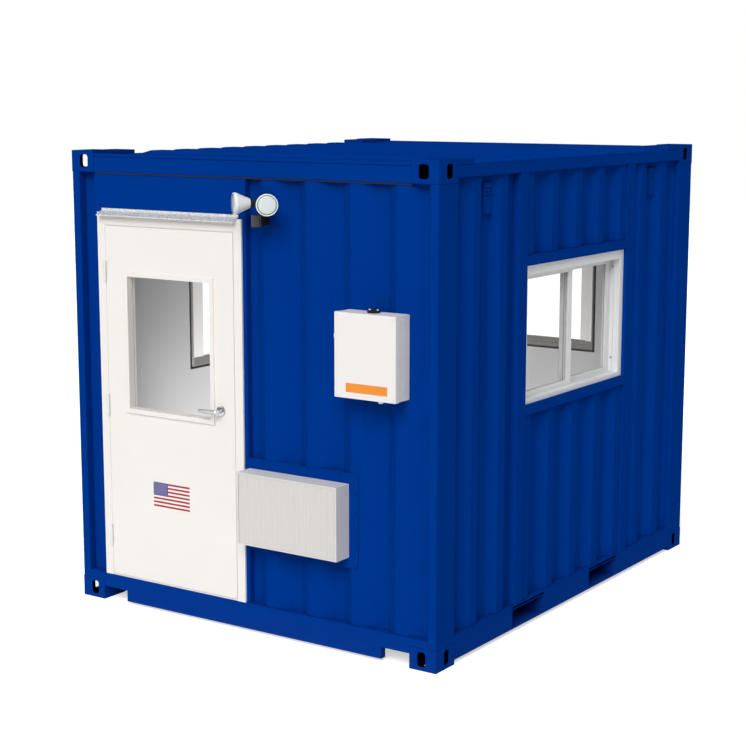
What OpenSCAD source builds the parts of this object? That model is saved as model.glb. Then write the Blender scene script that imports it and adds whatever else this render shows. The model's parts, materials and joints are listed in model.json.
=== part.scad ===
// Guard booth made from a 10 ft steel container, all sizes in millimetres.
// X runs along the length with the door end at -X, the window side is at -Y and the castings stand on z = 0.

/* [Container] */
// Length over the corner castings
body_l = 2991; // [2900:1:3200]
// Width over the corner castings
body_w = 2438; // [2400:1:2600]
// Height over the corner castings
body_h = 2591; // [2550:1:2900]

/* [Corner castings] */
// Length of a casting along the side
cast_l = 178; // [172:1:190]
// Width of a casting across the end
cast_w = 162; // [156:1:175]
// Height of a casting
cast_h = 118; // [112:1:126]
// Wall behind each of the casting's openings
cast_wall = 16; // [14:1:24]
// Wall on the casting's closed sides
cast_back = 10; // [6:1:12]
// Length of the lock slot
slot_l = 124; // [110:1:126]
// Width of the lock slot
slot_w = 63.5; // [50:0.5:66]
// Slot centre from the end face
slot_x = 102; // [98:0.5:104]
// Slot centre from the side face
slot_y = 89.5; // [84:0.5:94]
// Width of the end and side holes in a bottom casting
hole_w = 50; // [40:1:56]
// Height of those holes
hole_h = 79; // [70:1:84]
// Width of the end and side holes in a top casting
top_hole_w = 60; // [50:1:64]
// Height of those holes
top_hole_h = 73; // [66:1:80]
// Corner radius of the holes
hole_r = 17; // [10:1:19]

/* [Posts and rails] */
// Set-back of the posts and rails behind the casting faces
frame_inset = 2; // [1:1:6]
// Width of a post on the end face
post_w = 50; // [50:1:70]
// Thickness of the pressed posts
post_t = 6; // [4:1:8]
// Underside of the side bottom rail
side_rail_z = 23; // [14:1:30]
// Height of the side bottom rail
side_rail_h = 128; // [126:1:136]
// Thickness of the side bottom rail
side_rail_t = 4.5; // [3:0.5:6]
// Width of its flanges
side_rail_d = 50; // [50:1:60]
// Underside of the end sills
sill_z = 15; // [10:1:25]
// Height of the end sills
sill_h = 145; // [138:1:150]
// Thickness of the end sills
sill_t = 6; // [4:1:8]
// Depth of the lips round its lower edge
sill_lip = 40; // [30:1:60]
// Length of the notch beside each casting
notch_w = 175; // [120:1:220]
// Underside of the sill above a notch
notch_z = 78; // [60:1:90]
// Drop of the top rails below the casting tops
rail_drop = 34; // [30:1:40]
// Height of the side top rails
top_rail_h = 60; // [50:1:70]
// Depth of the top rails
top_rail_d = 60; // [50:1:66]
// Wall of the top rails
top_rail_t = 4; // [3:0.5:6]

/* [Wall sheet] */
// Set-back of the sheet's outer ribs behind the casting faces
sheet_inset = 14; // [10:1:16]
// Flat of an outer rib
crest_w = 72; // [60:1:80]
// Width of each sloping flank
flank_w = 68; // [55:1:75]
// Flat of an inner rib
valley_w = 70; // [60:1:80]
// Depth of the ribs
rib_d = 36; // [25:1:38]
// Thickness of the sheet
sheet_t = 2; // [1.5:0.5:3]
// First inner rib of the door end beside the door post
rib_start = 13; // [8:1:30]

/* [Roof] */
// Flat of an upper rib
roof_crest = 95; // [70:1:110]
// Sloping flank
roof_flank = 18; // [12:1:26]
// Flat of a lower rib
roof_valley = 91; // [70:1:100]
// Height of the ribs
roof_d = 17; // [12:1:22]
// Ribs each way of the middle one
roof_n = 4; // [3:1:4]
// Flat of the roof beside the ends of the ribs
roof_edge = 95; // [75:1:140]
// Roof sheet behind the faces of the top rails
roof_back = 6; // [4:1:12]
// Length of the plates beside the top castings
plate_l = 166; // [120:1:200]
// Drop of those plates below the casting tops
plate_drop = 3; // [2:1:6]
// Thickness of those plates
plate_t = 4; // [3:0.5:6]

/* [Floor] */
// Distance between the fork pocket centres
pocket_pitch = 910; // [850:1:960]
// Fork pockets towards the door end
pocket_shift = 75; // [0:1:90]
// Clear width of a fork pocket
pocket_w = 360; // [320:1:380]
// Plate of the fork pockets
pocket_t = 5; // [4:1:6]
// Length of the straps under a pocket
strap_l = 180; // [120:1:250]
// Floor thickness
deck_t = 21; // [18:1:24]
// Floor surface above the side rail
deck_lift = 2; // [1:1:5]
// Width of a crossmember's flanges
cross_w = 45; // [35:1:55]
// Thickness of a crossmember
cross_t = 4; // [3:0.5:5]
// Distance from a crossmember to a fork pocket
cross_gap = 25; // [15:1:40]
// Crossmembers between a pocket and the end
cross_n = 3; // [2:1:3]

/* [Lining] */
// Inside face of the lining behind the casting faces
liner_inset = 95; // [85:1:100]
// Thickness of the lining
liner_t = 12; // [9:1:18]
// Ceiling below the end rails
ceiling_drop = 2; // [1:1:60]
// Open joint round a window frame
liner_gap = 17; // [10:1:25]

/* [Windows] */
// Width over a window frame
win_w = 1202; // [900:1:1300]
// Height over a window frame
win_h = 757; // [600:1:850]
// Top of the window frames below the side top rails
win_drop = 496; // [400:1:600]
// Set-back of the frames behind the casting faces
win_inset = 23; // [18:1:28]
// Depth of a frame
win_depth = 88; // [86:1:92]
// Width of a frame's jambs
win_face = 44; // [36:1:50]
// Height of a frame's head
win_head = 54; // [44:1:60]
// Height of a frame's sill
win_sill = 26; // [22:1:40]
// Width of the posts beside a frame
surround_side = 84; // [60:1:110]
// Height of the tubes above and below a frame
surround_top = 54; // [40:1:80]
// Wall of those posts and tubes
surround_t = 4; // [3:0.5:5]
// Outer sash behind the face of its frame
track_set = 38; // [34:1:38]
// Width of a sash's stiles
sash_face = 50; // [40:1:54]
// Height of a sash's rails
sash_rail = 30; // [24:1:40]
// Thickness of a sash
sash_t = 22; // [20:0.5:22]
// Overlap of the two sashes
sash_lap = 56; // [44:1:64]
// Thickness of the panes
pane_t = 6; // [4:1:8]
// Depth of the glazing groove
groove_d = 9; // [6:1:12]

/* [Door] */
// Width of the leaf
leaf_w = 910; // [850:1:930]
// Height of the panel over the door frame
over_door = 221; // [218:1:280]
// Thickness of the leaf
leaf_t = 44; // [40:1:46]
// Centre of the leaf from the far corner
leaf_s = 694; // [690:1:720]
// Gap round the leaf
leaf_gap = 5; // [5:0.5:6]
// Set-back of the leaf behind the casting faces
leaf_inset = 4; // [3:1:5]
// Width of the frame on the jambs
jamb_face = 54; // [50:1:60]
// Height of the frame over the leaf
head_face = 69; // [60:1:75]
// Frame over the edge of the door posts
jamb_lap = 26; // [20:1:30]
// Width of the rebate that the leaf closes on
stop_w = 16; // [12:1:20]
// Height of the threshold
sill_plate_h = 6; // [4:1:8]
// Width of the square door posts
door_post = 50; // [40:1:50]
// Wall of the door posts and of the panel over the door
door_post_t = 3; // [2:0.5:4]
// Width over the trim of the door window
lite_w = 641; // [500:1:660]
// Height over the trim of the door window
lite_h = 798; // [600:1:820]
// Top of the trim below the top of the leaf
lite_drop = 251; // [200:1:280]
// Visible width of the trim
lite_face = 26; // [22:1:32]
// Trim over the edge of the leaf
lite_lap = 15; // [10:1:18]
// Trim in front of the leaf
lite_proud = 10; // [6:1:14]
// Projection of the drip cap
cap_out = 38; // [34:1:80]
// Fall of the drip cap
cap_fall = 22; // [10:1:24]
// Back of the drip cap above the door frame
cap_rise = 10; // [10:1:16]
// Sheet of the drip cap
cap_t = 2; // [1.5:0.5:2]
// Upstand of the drip cap
cap_up = 12; // [8:1:16]
// Lip of the drip cap
cap_lip = 6; // [4:1:12]

/* [Hinges and lever] */
// Height of a hinge
hinge_h = 114; // [100:1:120]
// Radius of the knuckles
knuckle_r = 8; // [7:0.5:9]
// Radius of the hinge pins
pin_r = 4; // [3:0.5:5]
// Thickness of the hinge plates
hinge_t = 2; // [1.5:0.5:2]
// Depth of the hinge plates
hinge_d = 36; // [28:1:38]
// Middle of the top hinge below the top of the leaf
hinge_top = 254; // [200:1:280]
// Middle of the bottom hinge above the bottom of the leaf
hinge_low = 230; // [200:1:260]
// Running clearance of pins in their bores
run_fit = 0.05; // [0.02:0.01:0.1]
// Lever above the bottom of the leaf
lever_z = 1040; // [950:1:1060]
// Lever from the free edge of the leaf
lever_back = 92; // [60:1:95]
// Length of the lever from its spindle
lever_l = 130; // [110:1:150]
// Width of the lever
lever_w = 20; // [16:1:24]
// Thickness of the lever
lever_t = 13; // [10:1:16]
// Stand-off of the lever from the leaf
lever_out = 48; // [40:1:60]
// Radius of the spindle
spindle_r = 9; // [7:0.5:10]
// Radius of the roses
rose_r = 27; // [24:1:32]
// Thickness of the roses
rose_t = 9; // [6:1:12]

/* [Air conditioner] */
// Width of the case
ac_w = 651; // [500:1:680]
// Height of the case
ac_h = 393; // [300:1:420]
// Underside of the case
ac_z = 523; // [450:1:600]
// Projection of the case in front of the castings
ac_out = 104; // [80:1:140]
// Gap between the case and the door post
ac_gap = 11; // [8:1:16]
// Width of the plates round the case
ac_rim = 58; // [40:1:70]
// Thickness of those plates
ac_rim_t = 4; // [3:1:6]
// Edge of the case round the grille
ac_edge = 9; // [6:1:14]
// Depth of the grille in the case
ac_grille_d = 14; // [10:1:20]
// Spacing of the grille's fins
fin_pitch = 9; // [8:0.5:16]
// Thickness of a fin
fin_t = 6; // [3:0.5:7]
// Depth of the grooves between the fins
fin_d = 4; // [3:0.5:6]
// Projection of the case into the room
ac_in = 70; // [50:1:120]

/* [Electrical and lights] */
// Width of the load centre
box_w = 366; // [352:1:400]
// Height of the load centre
box_h = 430; // [350:1:480]
// Middle of the load centre from the window side
box_back = 359; // [330:1:420]
// Depth of the load centre
box_d = 96; // [90:1:120]
// Underside of the load centre
box_z = 1396; // [1300:1:1500]
// Depth of its cover
cover_d = 32; // [20:1:40]
// Radius of the conduit hub on top
hub_r = 33; // [25:1:36]
// Height of the conduit hub
hub_h = 14; // [10:1:25]
// Flood light below the end rail
light_drop = 128; // [115:1:150]
// Radius of the flood light's wall canopy
canopy_r = 50; // [45:1:56]
// Thickness of the canopy
canopy_t = 22; // [16:1:28]
// Angle of each lamp from straight out
splay = 40; // [37:1:42]
// Length of a lamp's arm to its pivot
arm_l = 48; // [46:1:56]
// Radius of a lamp's arm
arm_r = 11; // [9:1:12]
// Radius of the pivot disc
disc_r = 15; // [13:1:16]
// Thickness of the pivot disc
disc_t = 12; // [10:1:14]
// Thickness of the ears on the pivot disc
ear_t = 5; // [4:0.5:6]
// Radius of the pivot bolt
bolt_r = 4; // [3:0.5:5]
// Radius of a lamp's holder
holder_r = 24; // [19:1:25]
// Length of a lamp from its pivot
lamp_l = 120; // [112:1:130]
// Radius of a lamp's rim
lamp_r = 57; // [50:1:60]
// Length of the lamp's cone
cone_l = 75; // [60:1:78]
// Width of the rim band
rim_l = 11; // [8:1:14]
// Width of the sensor
sensor_w = 66; // [56:1:70]
// Height of the sensor's block
sensor_h = 44; // [38:1:50]
// Depth of the sensor's block
sensor_d = 70; // [56:1:76]
// Top of the sensor below the light's centre
sensor_drop = 66; // [64:1:70]
// Radius of the sensor's stem
stem_r = 8; // [6:1:9]
// Radius of the sensor's lens
lens_r = 28; // [22:1:30]
// Height of the sensor's lens
lens_h = 62; // [52:1:66]

/* [Side vents] */
// Width of a vent cover
vent_w = 64; // [56:1:68]
// Height of a vent cover
vent_h = 165; // [120:1:180]
// Top of the vents below the top rail
vent_drop = 35; // [25:1:90]
// Projection of the vent covers from the sheet
vent_d = 20; // [16:1:28]
// Length of a vent's slots
vent_slot_l = 20; // [14:1:24]
// Height of a vent's slots
vent_slot_h = 6; // [4:1:8]
// Spacing of a vent's slots
vent_pitch = 18; // [14:1:22]

/* [Hidden] */
$fn = 48;

// Gap between pieces that are welded, bolted or set together
fit = 0.3;
// Overshoot of cuts past a surface
past = 1;

blue = [0, 0.2, 0.54];
white = [0.95, 0.94, 0.92];
grey = [0.62, 0.62, 0.6];
black = [0.06, 0.06, 0.07];
steel = [0.75, 0.76, 0.78];
pale = [0.86, 0.85, 0.82];
ply = [0.6, 0.45, 0.3];
clear = [0.75, 0.85, 0.9, 0.35];

half_l = body_l/2;
half_w = body_w/2;
side_rail_top = side_rail_z + side_rail_h;
sill_top = sill_z + sill_h;
sill_d = liner_inset + 2 - frame_inset;
rail_top = body_h - rail_drop;
roof_z = rail_top + sheet_t;
top_rail_z = rail_top - top_rail_h;
end_rail_z = body_h - cast_h;
pitch = crest_w + 2*flank_w + valley_w;
sheet_in = sheet_inset + rib_d + sheet_t;
rail_in = frame_inset + top_rail_d;
deck_top = side_rail_top + deck_lift;
deck_z = deck_top - deck_t;
room_top = end_rail_z - ceiling_drop - liner_t;
liner_d = liner_inset - liner_t;
post_l = cast_l - frame_inset;
post_in_w = frame_inset + post_w;

// Window openings, seen from outside with a to the right and d inwards
surround_w = win_w + 2*surround_side;
surround_h = win_h + 2*surround_top;
win_z = top_rail_z - win_drop - win_h;
surround_z = win_z - surround_top;
frame_in = win_inset + win_depth;
open_w = win_w - 2*win_face;
open_h = win_h - win_head - win_sill;
sash_w = (open_w + sash_lap)/2 - fit;
sash_h = open_h - 2*fit;
track_out = win_inset + track_set;
track_in = track_out + sash_t + 5;

// Door end, with a measured to the right of the middle as seen from outside
leaf_a = leaf_s - half_w;
leaf_z = sill_top + sill_plate_h + leaf_gap;
frame_top = end_rail_z - over_door;
head_z = frame_top - head_face;
leaf_top = head_z - leaf_gap;
jamb_a = leaf_w/2 + leaf_gap;
frame_a = jamb_a + jamb_face;
post_a = frame_a - jamb_lap;
door_out = post_a + door_post;
frame_d = leaf_inset - 2;
stop_d = leaf_inset + leaf_t + leaf_gap;
lintel_z = frame_top - jamb_lap + 2*fit;
lite_z = leaf_top - lite_drop - lite_h;
cut_w = lite_w - 2*lite_lap;
cut_h = lite_h - 2*lite_lap;
pane_d = leaf_inset + leaf_t - pane_t - 3;
axis_a = leaf_a - leaf_w/2 - leaf_gap/2;
axis_d = frame_d - knuckle_r - 1;
hinge_zs = [leaf_z + hinge_low, (leaf_z + hinge_low + leaf_top - hinge_top)/2, leaf_top - hinge_top];
lever_a = leaf_a + leaf_w/2 - lever_back;
lever_at = leaf_z + lever_z;
ac_a0 = leaf_a + door_out + ac_gap;
ac_a1 = ac_a0 + ac_w;
ac_top = ac_z + ac_h;
rib_a = leaf_a + door_out + rib_start;
box_a = half_w - box_back;
light_a = rib_a + pitch/2;
light_z = end_rail_z - light_drop;
sensor_back = 6;

// Box between two corners
module block(lo, hi) {
    translate(lo)
        cube(hi - lo);
}

// Bar along X with rounded corners, centred, standing on z = 0
module round_bar(l, w, r, h) {
    block([-l/2 + r, -w/2, 0], [l/2 - r, w/2, h]);
    block([-l/2, -w/2 + r, 0], [l/2, w/2 - r, h]);
    for (sx = [-1, 1], sy = [-1, 1])
        translate([sx*(l/2 - r), sy*(w/2 - r), 0])
            cylinder(r = r, h = h);
}

// Round-ended bar along X, centred, standing on z = 0
module stadium(l, w, h) {
    for (s = [-1, 1])
        translate([s*(l - w)/2, 0, 0])
            cylinder(d = w, h = h);
    block([-(l - w)/2, -w/2, 0], [(l - w)/2, w/2, h]);
}

// Rectangular ring in the plane of a wall, from depth d0 to d1, centred on a = 0 and standing on z = 0
module ring(w, h, side, low, high, d0, d1) {
    difference() {
        block([-w/2, d0, 0], [w/2, d1, h]);
        block([side - w/2, d0 - past, low], [w/2 - side, d1 + past, h - high]);
    }
}

// Upright tube over a rectangle [a0, a1, z0, z1] of a wall, open at its ends along the axis named
module tube(r, d0, d1, t, upright) {
    da = upright ? t : -past;
    dz = upright ? -past : t;
    difference() {
        block([r[0], d0, r[2]], [r[1], d1, r[3]]);
        block([r[0] + da, d0 + t, r[2] + dz], [r[1] - da, d1 - t, r[3] - dz]);
    }
}

// Places children on a wall: a to the right as seen from outside, d inwards from the casting faces
module on_wall(turn) {
    rotate([0, 0, turn])
        translate([0, turn % 180 == 0 ? -half_w : -half_l, 0])
            children();
}
near_side = 0;
door_end = -90;
back_end = 90;
far_side = 180;

// The four rectangles [a0, a1, z0, z1] left of, right of, below and above an opening
function around(area, hole) = [
    [area[0], hole[0], area[2], area[3]],
    [hole[1], area[1], area[2], area[3]],
    [hole[0] + fit, hole[1] - fit, area[2], hole[2]],
    [hole[0] + fit, hole[1] - fit, hole[3], area[3]]
];

// Upright slab over a rectangle of a wall
module slab(r, d0, d1) {
    block([r[0], d0, r[2]], [r[1], d1, r[3]]);
}

// Ribbed outline across n ribs each way of the valley at c0, as [along, depth] points
function rib_line(c0, n, crest, flank, valley, depth) = [
    for (k = [-n : n])
        let (c = c0 + k*(crest + 2*flank + valley))
            each [
                [c - valley/2 - flank, 0], [c - valley/2, depth],
                [c + valley/2, depth], [c + valley/2 + flank, 0]
            ]
];

// Closed section of a ribbed sheet
function rib_section(line, t) = concat(line, [for (k = [len(line) - 1 : -1 : 0]) line[k] + [0, t]]);

// Full ribbed wall sheet of height h, with a valley at c0
module wall_sheet(c0, h) {
    line = rib_line(c0, ceil(body_l/pitch), crest_w, flank_w, valley_w, rib_d);
    translate([0, sheet_inset, 0])
        linear_extrude(h)
            polygon(rib_section(line, sheet_t));
}

// Pieces of the ribbed sheet over a list of rectangles
module sheet_pieces(c0, rects) {
    for (r = rects)
        intersection() {
            wall_sheet(c0, body_h);
            slab(r, 0, sheet_in + past);
        }
}

// Repeats children at the four corners
module at_corners() {
    for (sx = [0, 1], sy = [0, 1])
        mirror([sx, 0, 0])
            mirror([0, sy, 0])
                translate([-half_l, -half_w, 0])
                    children();
}

// Corner frame

// Hollow corner casting with its slot underneath, and holes of w by h in its end and side faces
module casting(w, h) {
    difference() {
        cube([cast_l, cast_w, cast_h]);
        block([cast_wall, cast_wall, cast_wall],
              [cast_l - cast_back, cast_w - cast_back, cast_h - cast_back]);
        translate([slot_x, slot_y, -past])
            stadium(slot_l, slot_w, cast_wall + 2*past);
        translate([-past, slot_y, cast_h/2])
            rotate([0, 90, 0])
                round_bar(h, w, hole_r, cast_wall + 2*past);
        translate([slot_x, -past, cast_h/2])
            rotate([-90, 0, 0])
                round_bar(w, h, hole_r, cast_wall + 2*past);
    }
}

module bottom_corner_castings() {
    color(blue)
        at_corners()
            casting(hole_w, hole_h);
}

module top_corner_castings() {
    color(blue)
        translate([0, 0, body_h])
            mirror([0, 0, 1])
                at_corners()
                    casting(top_hole_w, top_hole_h);
}

// Pressed posts with a lip behind each wall sheet's edge
module corner_posts() {
    section = [
        [0, 0], [post_l, 0], [post_l, post_w], [post_l - post_t, post_w], [post_l - post_t, post_t],
        [post_t, post_t], [post_t, post_w - post_t], [post_w, post_w - post_t], [post_w, post_w], [0, post_w]
    ];
    color(blue)
        at_corners()
            translate([frame_inset, frame_inset, cast_h])
                linear_extrude(body_h - 2*cast_h)
                    polygon(section);
}

// Channel sills, raised beside each casting
module end_sills() {
    at_post = half_w - post_in_w - fit;
    at_cast = half_w - cast_w - fit;
    at_notch = at_cast - notch_w;
    right = [
        [at_notch, sill_z], [at_notch, notch_z], [at_cast, notch_z], [at_cast, cast_h + fit],
        [at_post, cast_h + fit], [at_post, sill_top]
    ];
    left = [for (k = [len(right) - 1 : -1 : 0]) [-right[k][0], right[k][1]]];
    d0 = frame_inset;
    d1 = frame_inset + sill_lip;
    color(blue)
        for (turn = [door_end, back_end])
            on_wall(turn) {
                translate([0, d0 + sill_t, 0])
                    rotate([90, 0, 0])
                        linear_extrude(sill_t)
                            polygon(concat(right, left));
                block([-at_post, d0, sill_top - sill_t], [at_post, d0 + sill_d, sill_top]);
                block([-at_notch, d0, sill_z], [at_notch, d1, sill_z + sill_t]);
                for (s = [0, 1])
                    mirror([s, 0, 0]) {
                        block([at_notch - sill_t, d0, notch_z], [at_cast, d1, notch_z + sill_t]);
                        block([at_notch - sill_t, d0, sill_z], [at_notch, d1, notch_z + sill_t]);
                    }
            }
}

module end_top_rails() {
    a = half_w - cast_w - fit;
    color(blue)
        for (turn = [door_end, back_end])
            on_wall(turn)
                tube([-a, a, end_rail_z, rail_top], frame_inset, rail_in, top_rail_t, false);
}

module side_top_rails() {
    a = half_l - cast_l - fit;
    color(blue)
        for (turn = [near_side, far_side])
            on_wall(turn)
                tube([-a, a, top_rail_z, rail_top], frame_inset, rail_in, top_rail_t, false);
}

// Channel rails with a mouth for each fork pocket
module side_bottom_rails() {
    l = body_l - 2*cast_l - 2*fit;
    d0 = frame_inset;
    d1 = frame_inset + side_rail_d;
    color(blue)
        for (m = [0, 1])
            mirror([0, m, 0])
                on_wall(near_side)
                    difference() {
                        block([-l/2, d0, side_rail_z], [l/2, d1, side_rail_top]);
                        block([-l/2 - past, d0 + side_rail_t, side_rail_z + side_rail_t],
                              [l/2 + past, d1 + past, side_rail_top - side_rail_t]);
                        for (s = [-1, 1])
                            translate([s*pocket_pitch/2 - pocket_shift, 0, 0])
                                block([-pocket_w/2, d0 - past, side_rail_z + side_rail_t],
                                      [pocket_w/2, d1, side_rail_top - side_rail_t]);
                    }
}

// Floor

// Channels between the side rails, clear of the fork pockets
module floor_crossmembers() {
    inner = (pocket_pitch - pocket_w)/2 - pocket_t - cross_gap - cross_w;
    outer = (pocket_pitch + pocket_w)/2 + pocket_t + cross_gap;
    last = half_l - cast_l - cross_gap - cross_w;
    reach = half_w - frame_inset - side_rail_t - fit;
    z0 = side_rail_z + side_rail_t;
    color(blue)
        for (s = [0, 1]) {
            shift = (2*s - 1)*pocket_shift;
            step = (last - outer - shift)/(cross_n - 1);
            xs = concat([inner + shift], [for (k = [0 : cross_n - 1]) outer + shift + k*step]);
            mirror([s, 0, 0])
                for (x = xs)
                    translate([x, 0, 0])
                    difference() {
                        block([0, -reach, z0], [cross_w, reach, deck_z]);
                        block([cross_t, -reach - past, z0 + cross_t],
                              [cross_w + past, reach + past, deck_z - cross_t]);
                    }
        }
}

// Roof, cheeks and straps of the two fork pockets
module fork_pocket_plates() {
    reach = half_w - frame_inset - side_rail_t - fit;
    strap_y = half_w - frame_inset - side_rail_d - fit;
    low = side_rail_z + side_rail_t;
    wide = pocket_w/2 + pocket_t;
    color(blue)
        for (s = [-1, 1])
            translate([s*pocket_pitch/2 - pocket_shift, 0, 0]) {
                block([-wide, -reach, deck_z - pocket_t], [wide, reach, deck_z]);
                for (m = [0, 1])
                    mirror([m, 0, 0])
                        block([pocket_w/2, -reach, low + fit], [wide, reach, deck_z - pocket_t - fit]);
                for (m = [0, 1])
                    mirror([0, m, 0])
                        block([-wide, strap_y - strap_l, side_rail_z], [wide, strap_y, low]);
            }
}

module floor_deck() {
    x = half_l - frame_inset - sill_d - fit;
    y = half_w - frame_inset - side_rail_d - fit;
    color(ply)
        block([-x, -y, deck_z], [x, y, deck_top]);
}

// Roof

// Hollow ribs across the roof, half as long as long, lowered by drop
module roof_ribs(long, drop) {
    step = roof_crest + 2*roof_flank + roof_valley;
    foot = roof_crest/2 + roof_flank;
    for (k = [-roof_n : roof_n])
        translate([k*step, long, roof_z - drop])
            rotate([90, 0, 0])
                linear_extrude(2*long)
                    polygon([
                        [-foot, -past], [-foot, 0], [-roof_crest/2, roof_d],
                        [roof_crest/2, roof_d], [foot, 0], [foot, -past]
                    ]);
}

// Pressed sheet lying on the top rails, cut round the castings, with a raised plate beside each casting
module roof_panel() {
    x = half_l - frame_inset - roof_back;
    y = half_w - frame_inset - roof_back;
    long = half_w - roof_edge;
    edge = frame_inset + roof_back;
    color(blue) {
        difference() {
            union() {
                block([-x, -y, rail_top], [x, y, roof_z]);
                roof_ribs(long, 0);
            }
            roof_ribs(long - sheet_t, sheet_t);
            at_corners()
                translate([0, 0, end_rail_z])
                    cube([cast_l + fit, cast_w + fit, cast_h]);
        }
        at_corners()
            difference() {
                block([cast_l + fit, edge, roof_z], [cast_l + plate_l, cast_w, body_h - plate_drop]);
                block([cast_l + fit + plate_t, edge + plate_t, roof_z - past],
                      [cast_l + plate_l - plate_t, cast_w - plate_t, body_h - plate_drop - plate_t]);
            }
    }
}

module ceiling_liner() {
    x = half_l - liner_d;
    y = half_w - liner_d;
    color(white)
        block([-x, -y, room_top], [x, y, room_top + liner_t]);
}

// Walls

// The four rectangles of sheet beside, below and above the posts and tubes of a window
function beside_window(a, z0, z1) = [
    [-a, -surround_w/2 - fit, z0, z1],
    [surround_w/2 + fit, a, z0, z1],
    [-win_w/2, win_w/2, z0, surround_z - fit],
    [-win_w/2, win_w/2, surround_z + surround_h + fit, z1]
];

// Sheets of a long side round its window
module long_wall() {
    a = half_l - cast_l - fit;
    sheet_pieces(pitch/2, beside_window(a, side_rail_top, top_rail_z - fit));
}

module window_side_wall() {
    color(blue)
        on_wall(near_side)
            long_wall();
}

module far_side_wall() {
    color(blue)
        on_wall(far_side)
            long_wall();
}

module back_end_wall() {
    a = half_w - post_in_w - fit;
    color(blue)
        on_wall(back_end)
            sheet_pieces(0, beside_window(a, sill_top, end_rail_z - fit));
}

// Plain strip left of the door, and ribbed sheet round the air conditioner on the right
module door_end_wall() {
    a = half_w - post_in_w - fit;
    left = leaf_a - door_out - fit;
    right = leaf_a + door_out + fit;
    top = end_rail_z - fit;
    past_ac = ac_a1 + fit;
    color(blue)
        on_wall(door_end) {
            slab([-a, left, sill_top, top], sheet_in - sheet_t, sheet_in);
            sheet_pieces(rib_a, [
                [past_ac, a, sill_top, top],
                [right, past_ac - fit, sill_top, ac_z - fit],
                [right, past_ac - fit, ac_top + fit, top]
            ]);
        }
}

// Square posts beside the door and a folded panel between them over it
module door_surround() {
    d1 = sheet_inset + door_post;
    t = door_post_t;
    top = end_rail_z - fit;
    wide = post_a - fit;
    color(blue)
        on_wall(door_end)
            translate([leaf_a, 0, 0]) {
                for (m = [0, 1])
                    mirror([m, 0, 0])
                        tube([post_a, door_out, sill_top, top], sheet_inset, d1, t, true);
                difference() {
                    block([-wide, sheet_inset, lintel_z], [wide, d1, top]);
                    block([t - wide, sheet_inset + t, lintel_z + t], [wide - t, d1 + past, top - t]);
                }
            }
}

// Lining

// Rectangle left open in the lining round a window frame
function liner_hole() = [
    -win_w/2 - liner_gap, win_w/2 + liner_gap, win_z - liner_gap, win_z + win_h + liner_gap
];

module side_wall_liners() {
    a = half_l - frame_inset - sill_d - fit;
    color(white)
        for (turn = [near_side, far_side])
            on_wall(turn)
                for (r = around([-a, a, deck_top, room_top], liner_hole()))
                    slab(r, liner_d, liner_inset);
}

module end_wall_liners() {
    a = half_w - liner_d;
    left = leaf_a - post_a - fit;
    right = leaf_a + post_a + fit;
    past_ac = ac_a1 + fit;
    color(white) {
        on_wall(back_end)
            for (r = around([-a, a, sill_top, room_top], liner_hole()))
                slab(r, liner_d, liner_inset);
        on_wall(door_end)
            for (r = [
                [-a, left, sill_top, room_top],
                [left + fit, right - fit, lintel_z, room_top],
                [right, past_ac - fit, ac_top + fit, room_top],
                [right, past_ac - fit, sill_top, ac_z - fit],
                [right, ac_a0 - fit, ac_z, ac_top],
                [past_ac, a, sill_top, room_top]
            ])
                slab(r, liner_d, liner_inset);
    }
}

// Windows

// Repeats children on the three walls that have a window
module at_windows() {
    for (turn = [near_side, far_side, back_end])
        on_wall(turn)
            children();
}

// Full-height posts beside each window with a tube above and below it, flush with the rails
module window_surrounds() {
    d0 = frame_inset;
    d1 = frame_inset + side_rail_d;
    out = surround_w/2;
    in = win_w/2 + fit;
    color(blue)
        for (turn = [near_side, far_side, back_end])
            on_wall(turn) {
                z0 = turn == back_end ? sill_top : side_rail_top;
                z1 = turn == back_end ? end_rail_z : top_rail_z;
                for (r = [[-out, -in, z0, z1 - fit], [in, out, z0, z1 - fit]])
                    tube(r, d0, d1, surround_t, true);
                for (z = [surround_z, win_z + win_h + fit])
                    tube([-win_w/2, win_w/2, z, z + surround_top - fit], d0, d1, surround_t, false);
            }
}

module window_frames() {
    color(white)
        at_windows()
            translate([0, 0, win_z])
                ring(win_w, win_h, win_face, win_sill, win_head, win_inset, frame_in);
}

// Places children on the outer left and inner right tracks of a window
module at_sashes() {
    at_windows()
        translate([0, 0, win_z + win_sill + fit])
            for (s = [-1, 1])
                translate([s*(open_w/2 - fit - sash_w/2), s < 0 ? track_out : track_in, 0])
                    children();
}

module window_sashes() {
    edge = sash_face - groove_d;
    level = sash_rail - groove_d;
    color(white)
        at_sashes()
            difference() {
                ring(sash_w, sash_h, sash_face, sash_rail, sash_rail, 0, sash_t);
                block([edge - sash_w/2, (sash_t - pane_t)/2 - fit, level],
                      [sash_w/2 - edge, (sash_t + pane_t)/2 + fit, sash_h - level]);
            }
}

module window_glass() {
    edge = sash_face - groove_d + fit;
    level = sash_rail - groove_d + fit;
    color(clear)
        at_sashes()
            block([edge - sash_w/2, (sash_t - pane_t)/2, level],
                  [sash_w/2 - edge, (sash_t + pane_t)/2, sash_h - level]);
}

// Door

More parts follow.
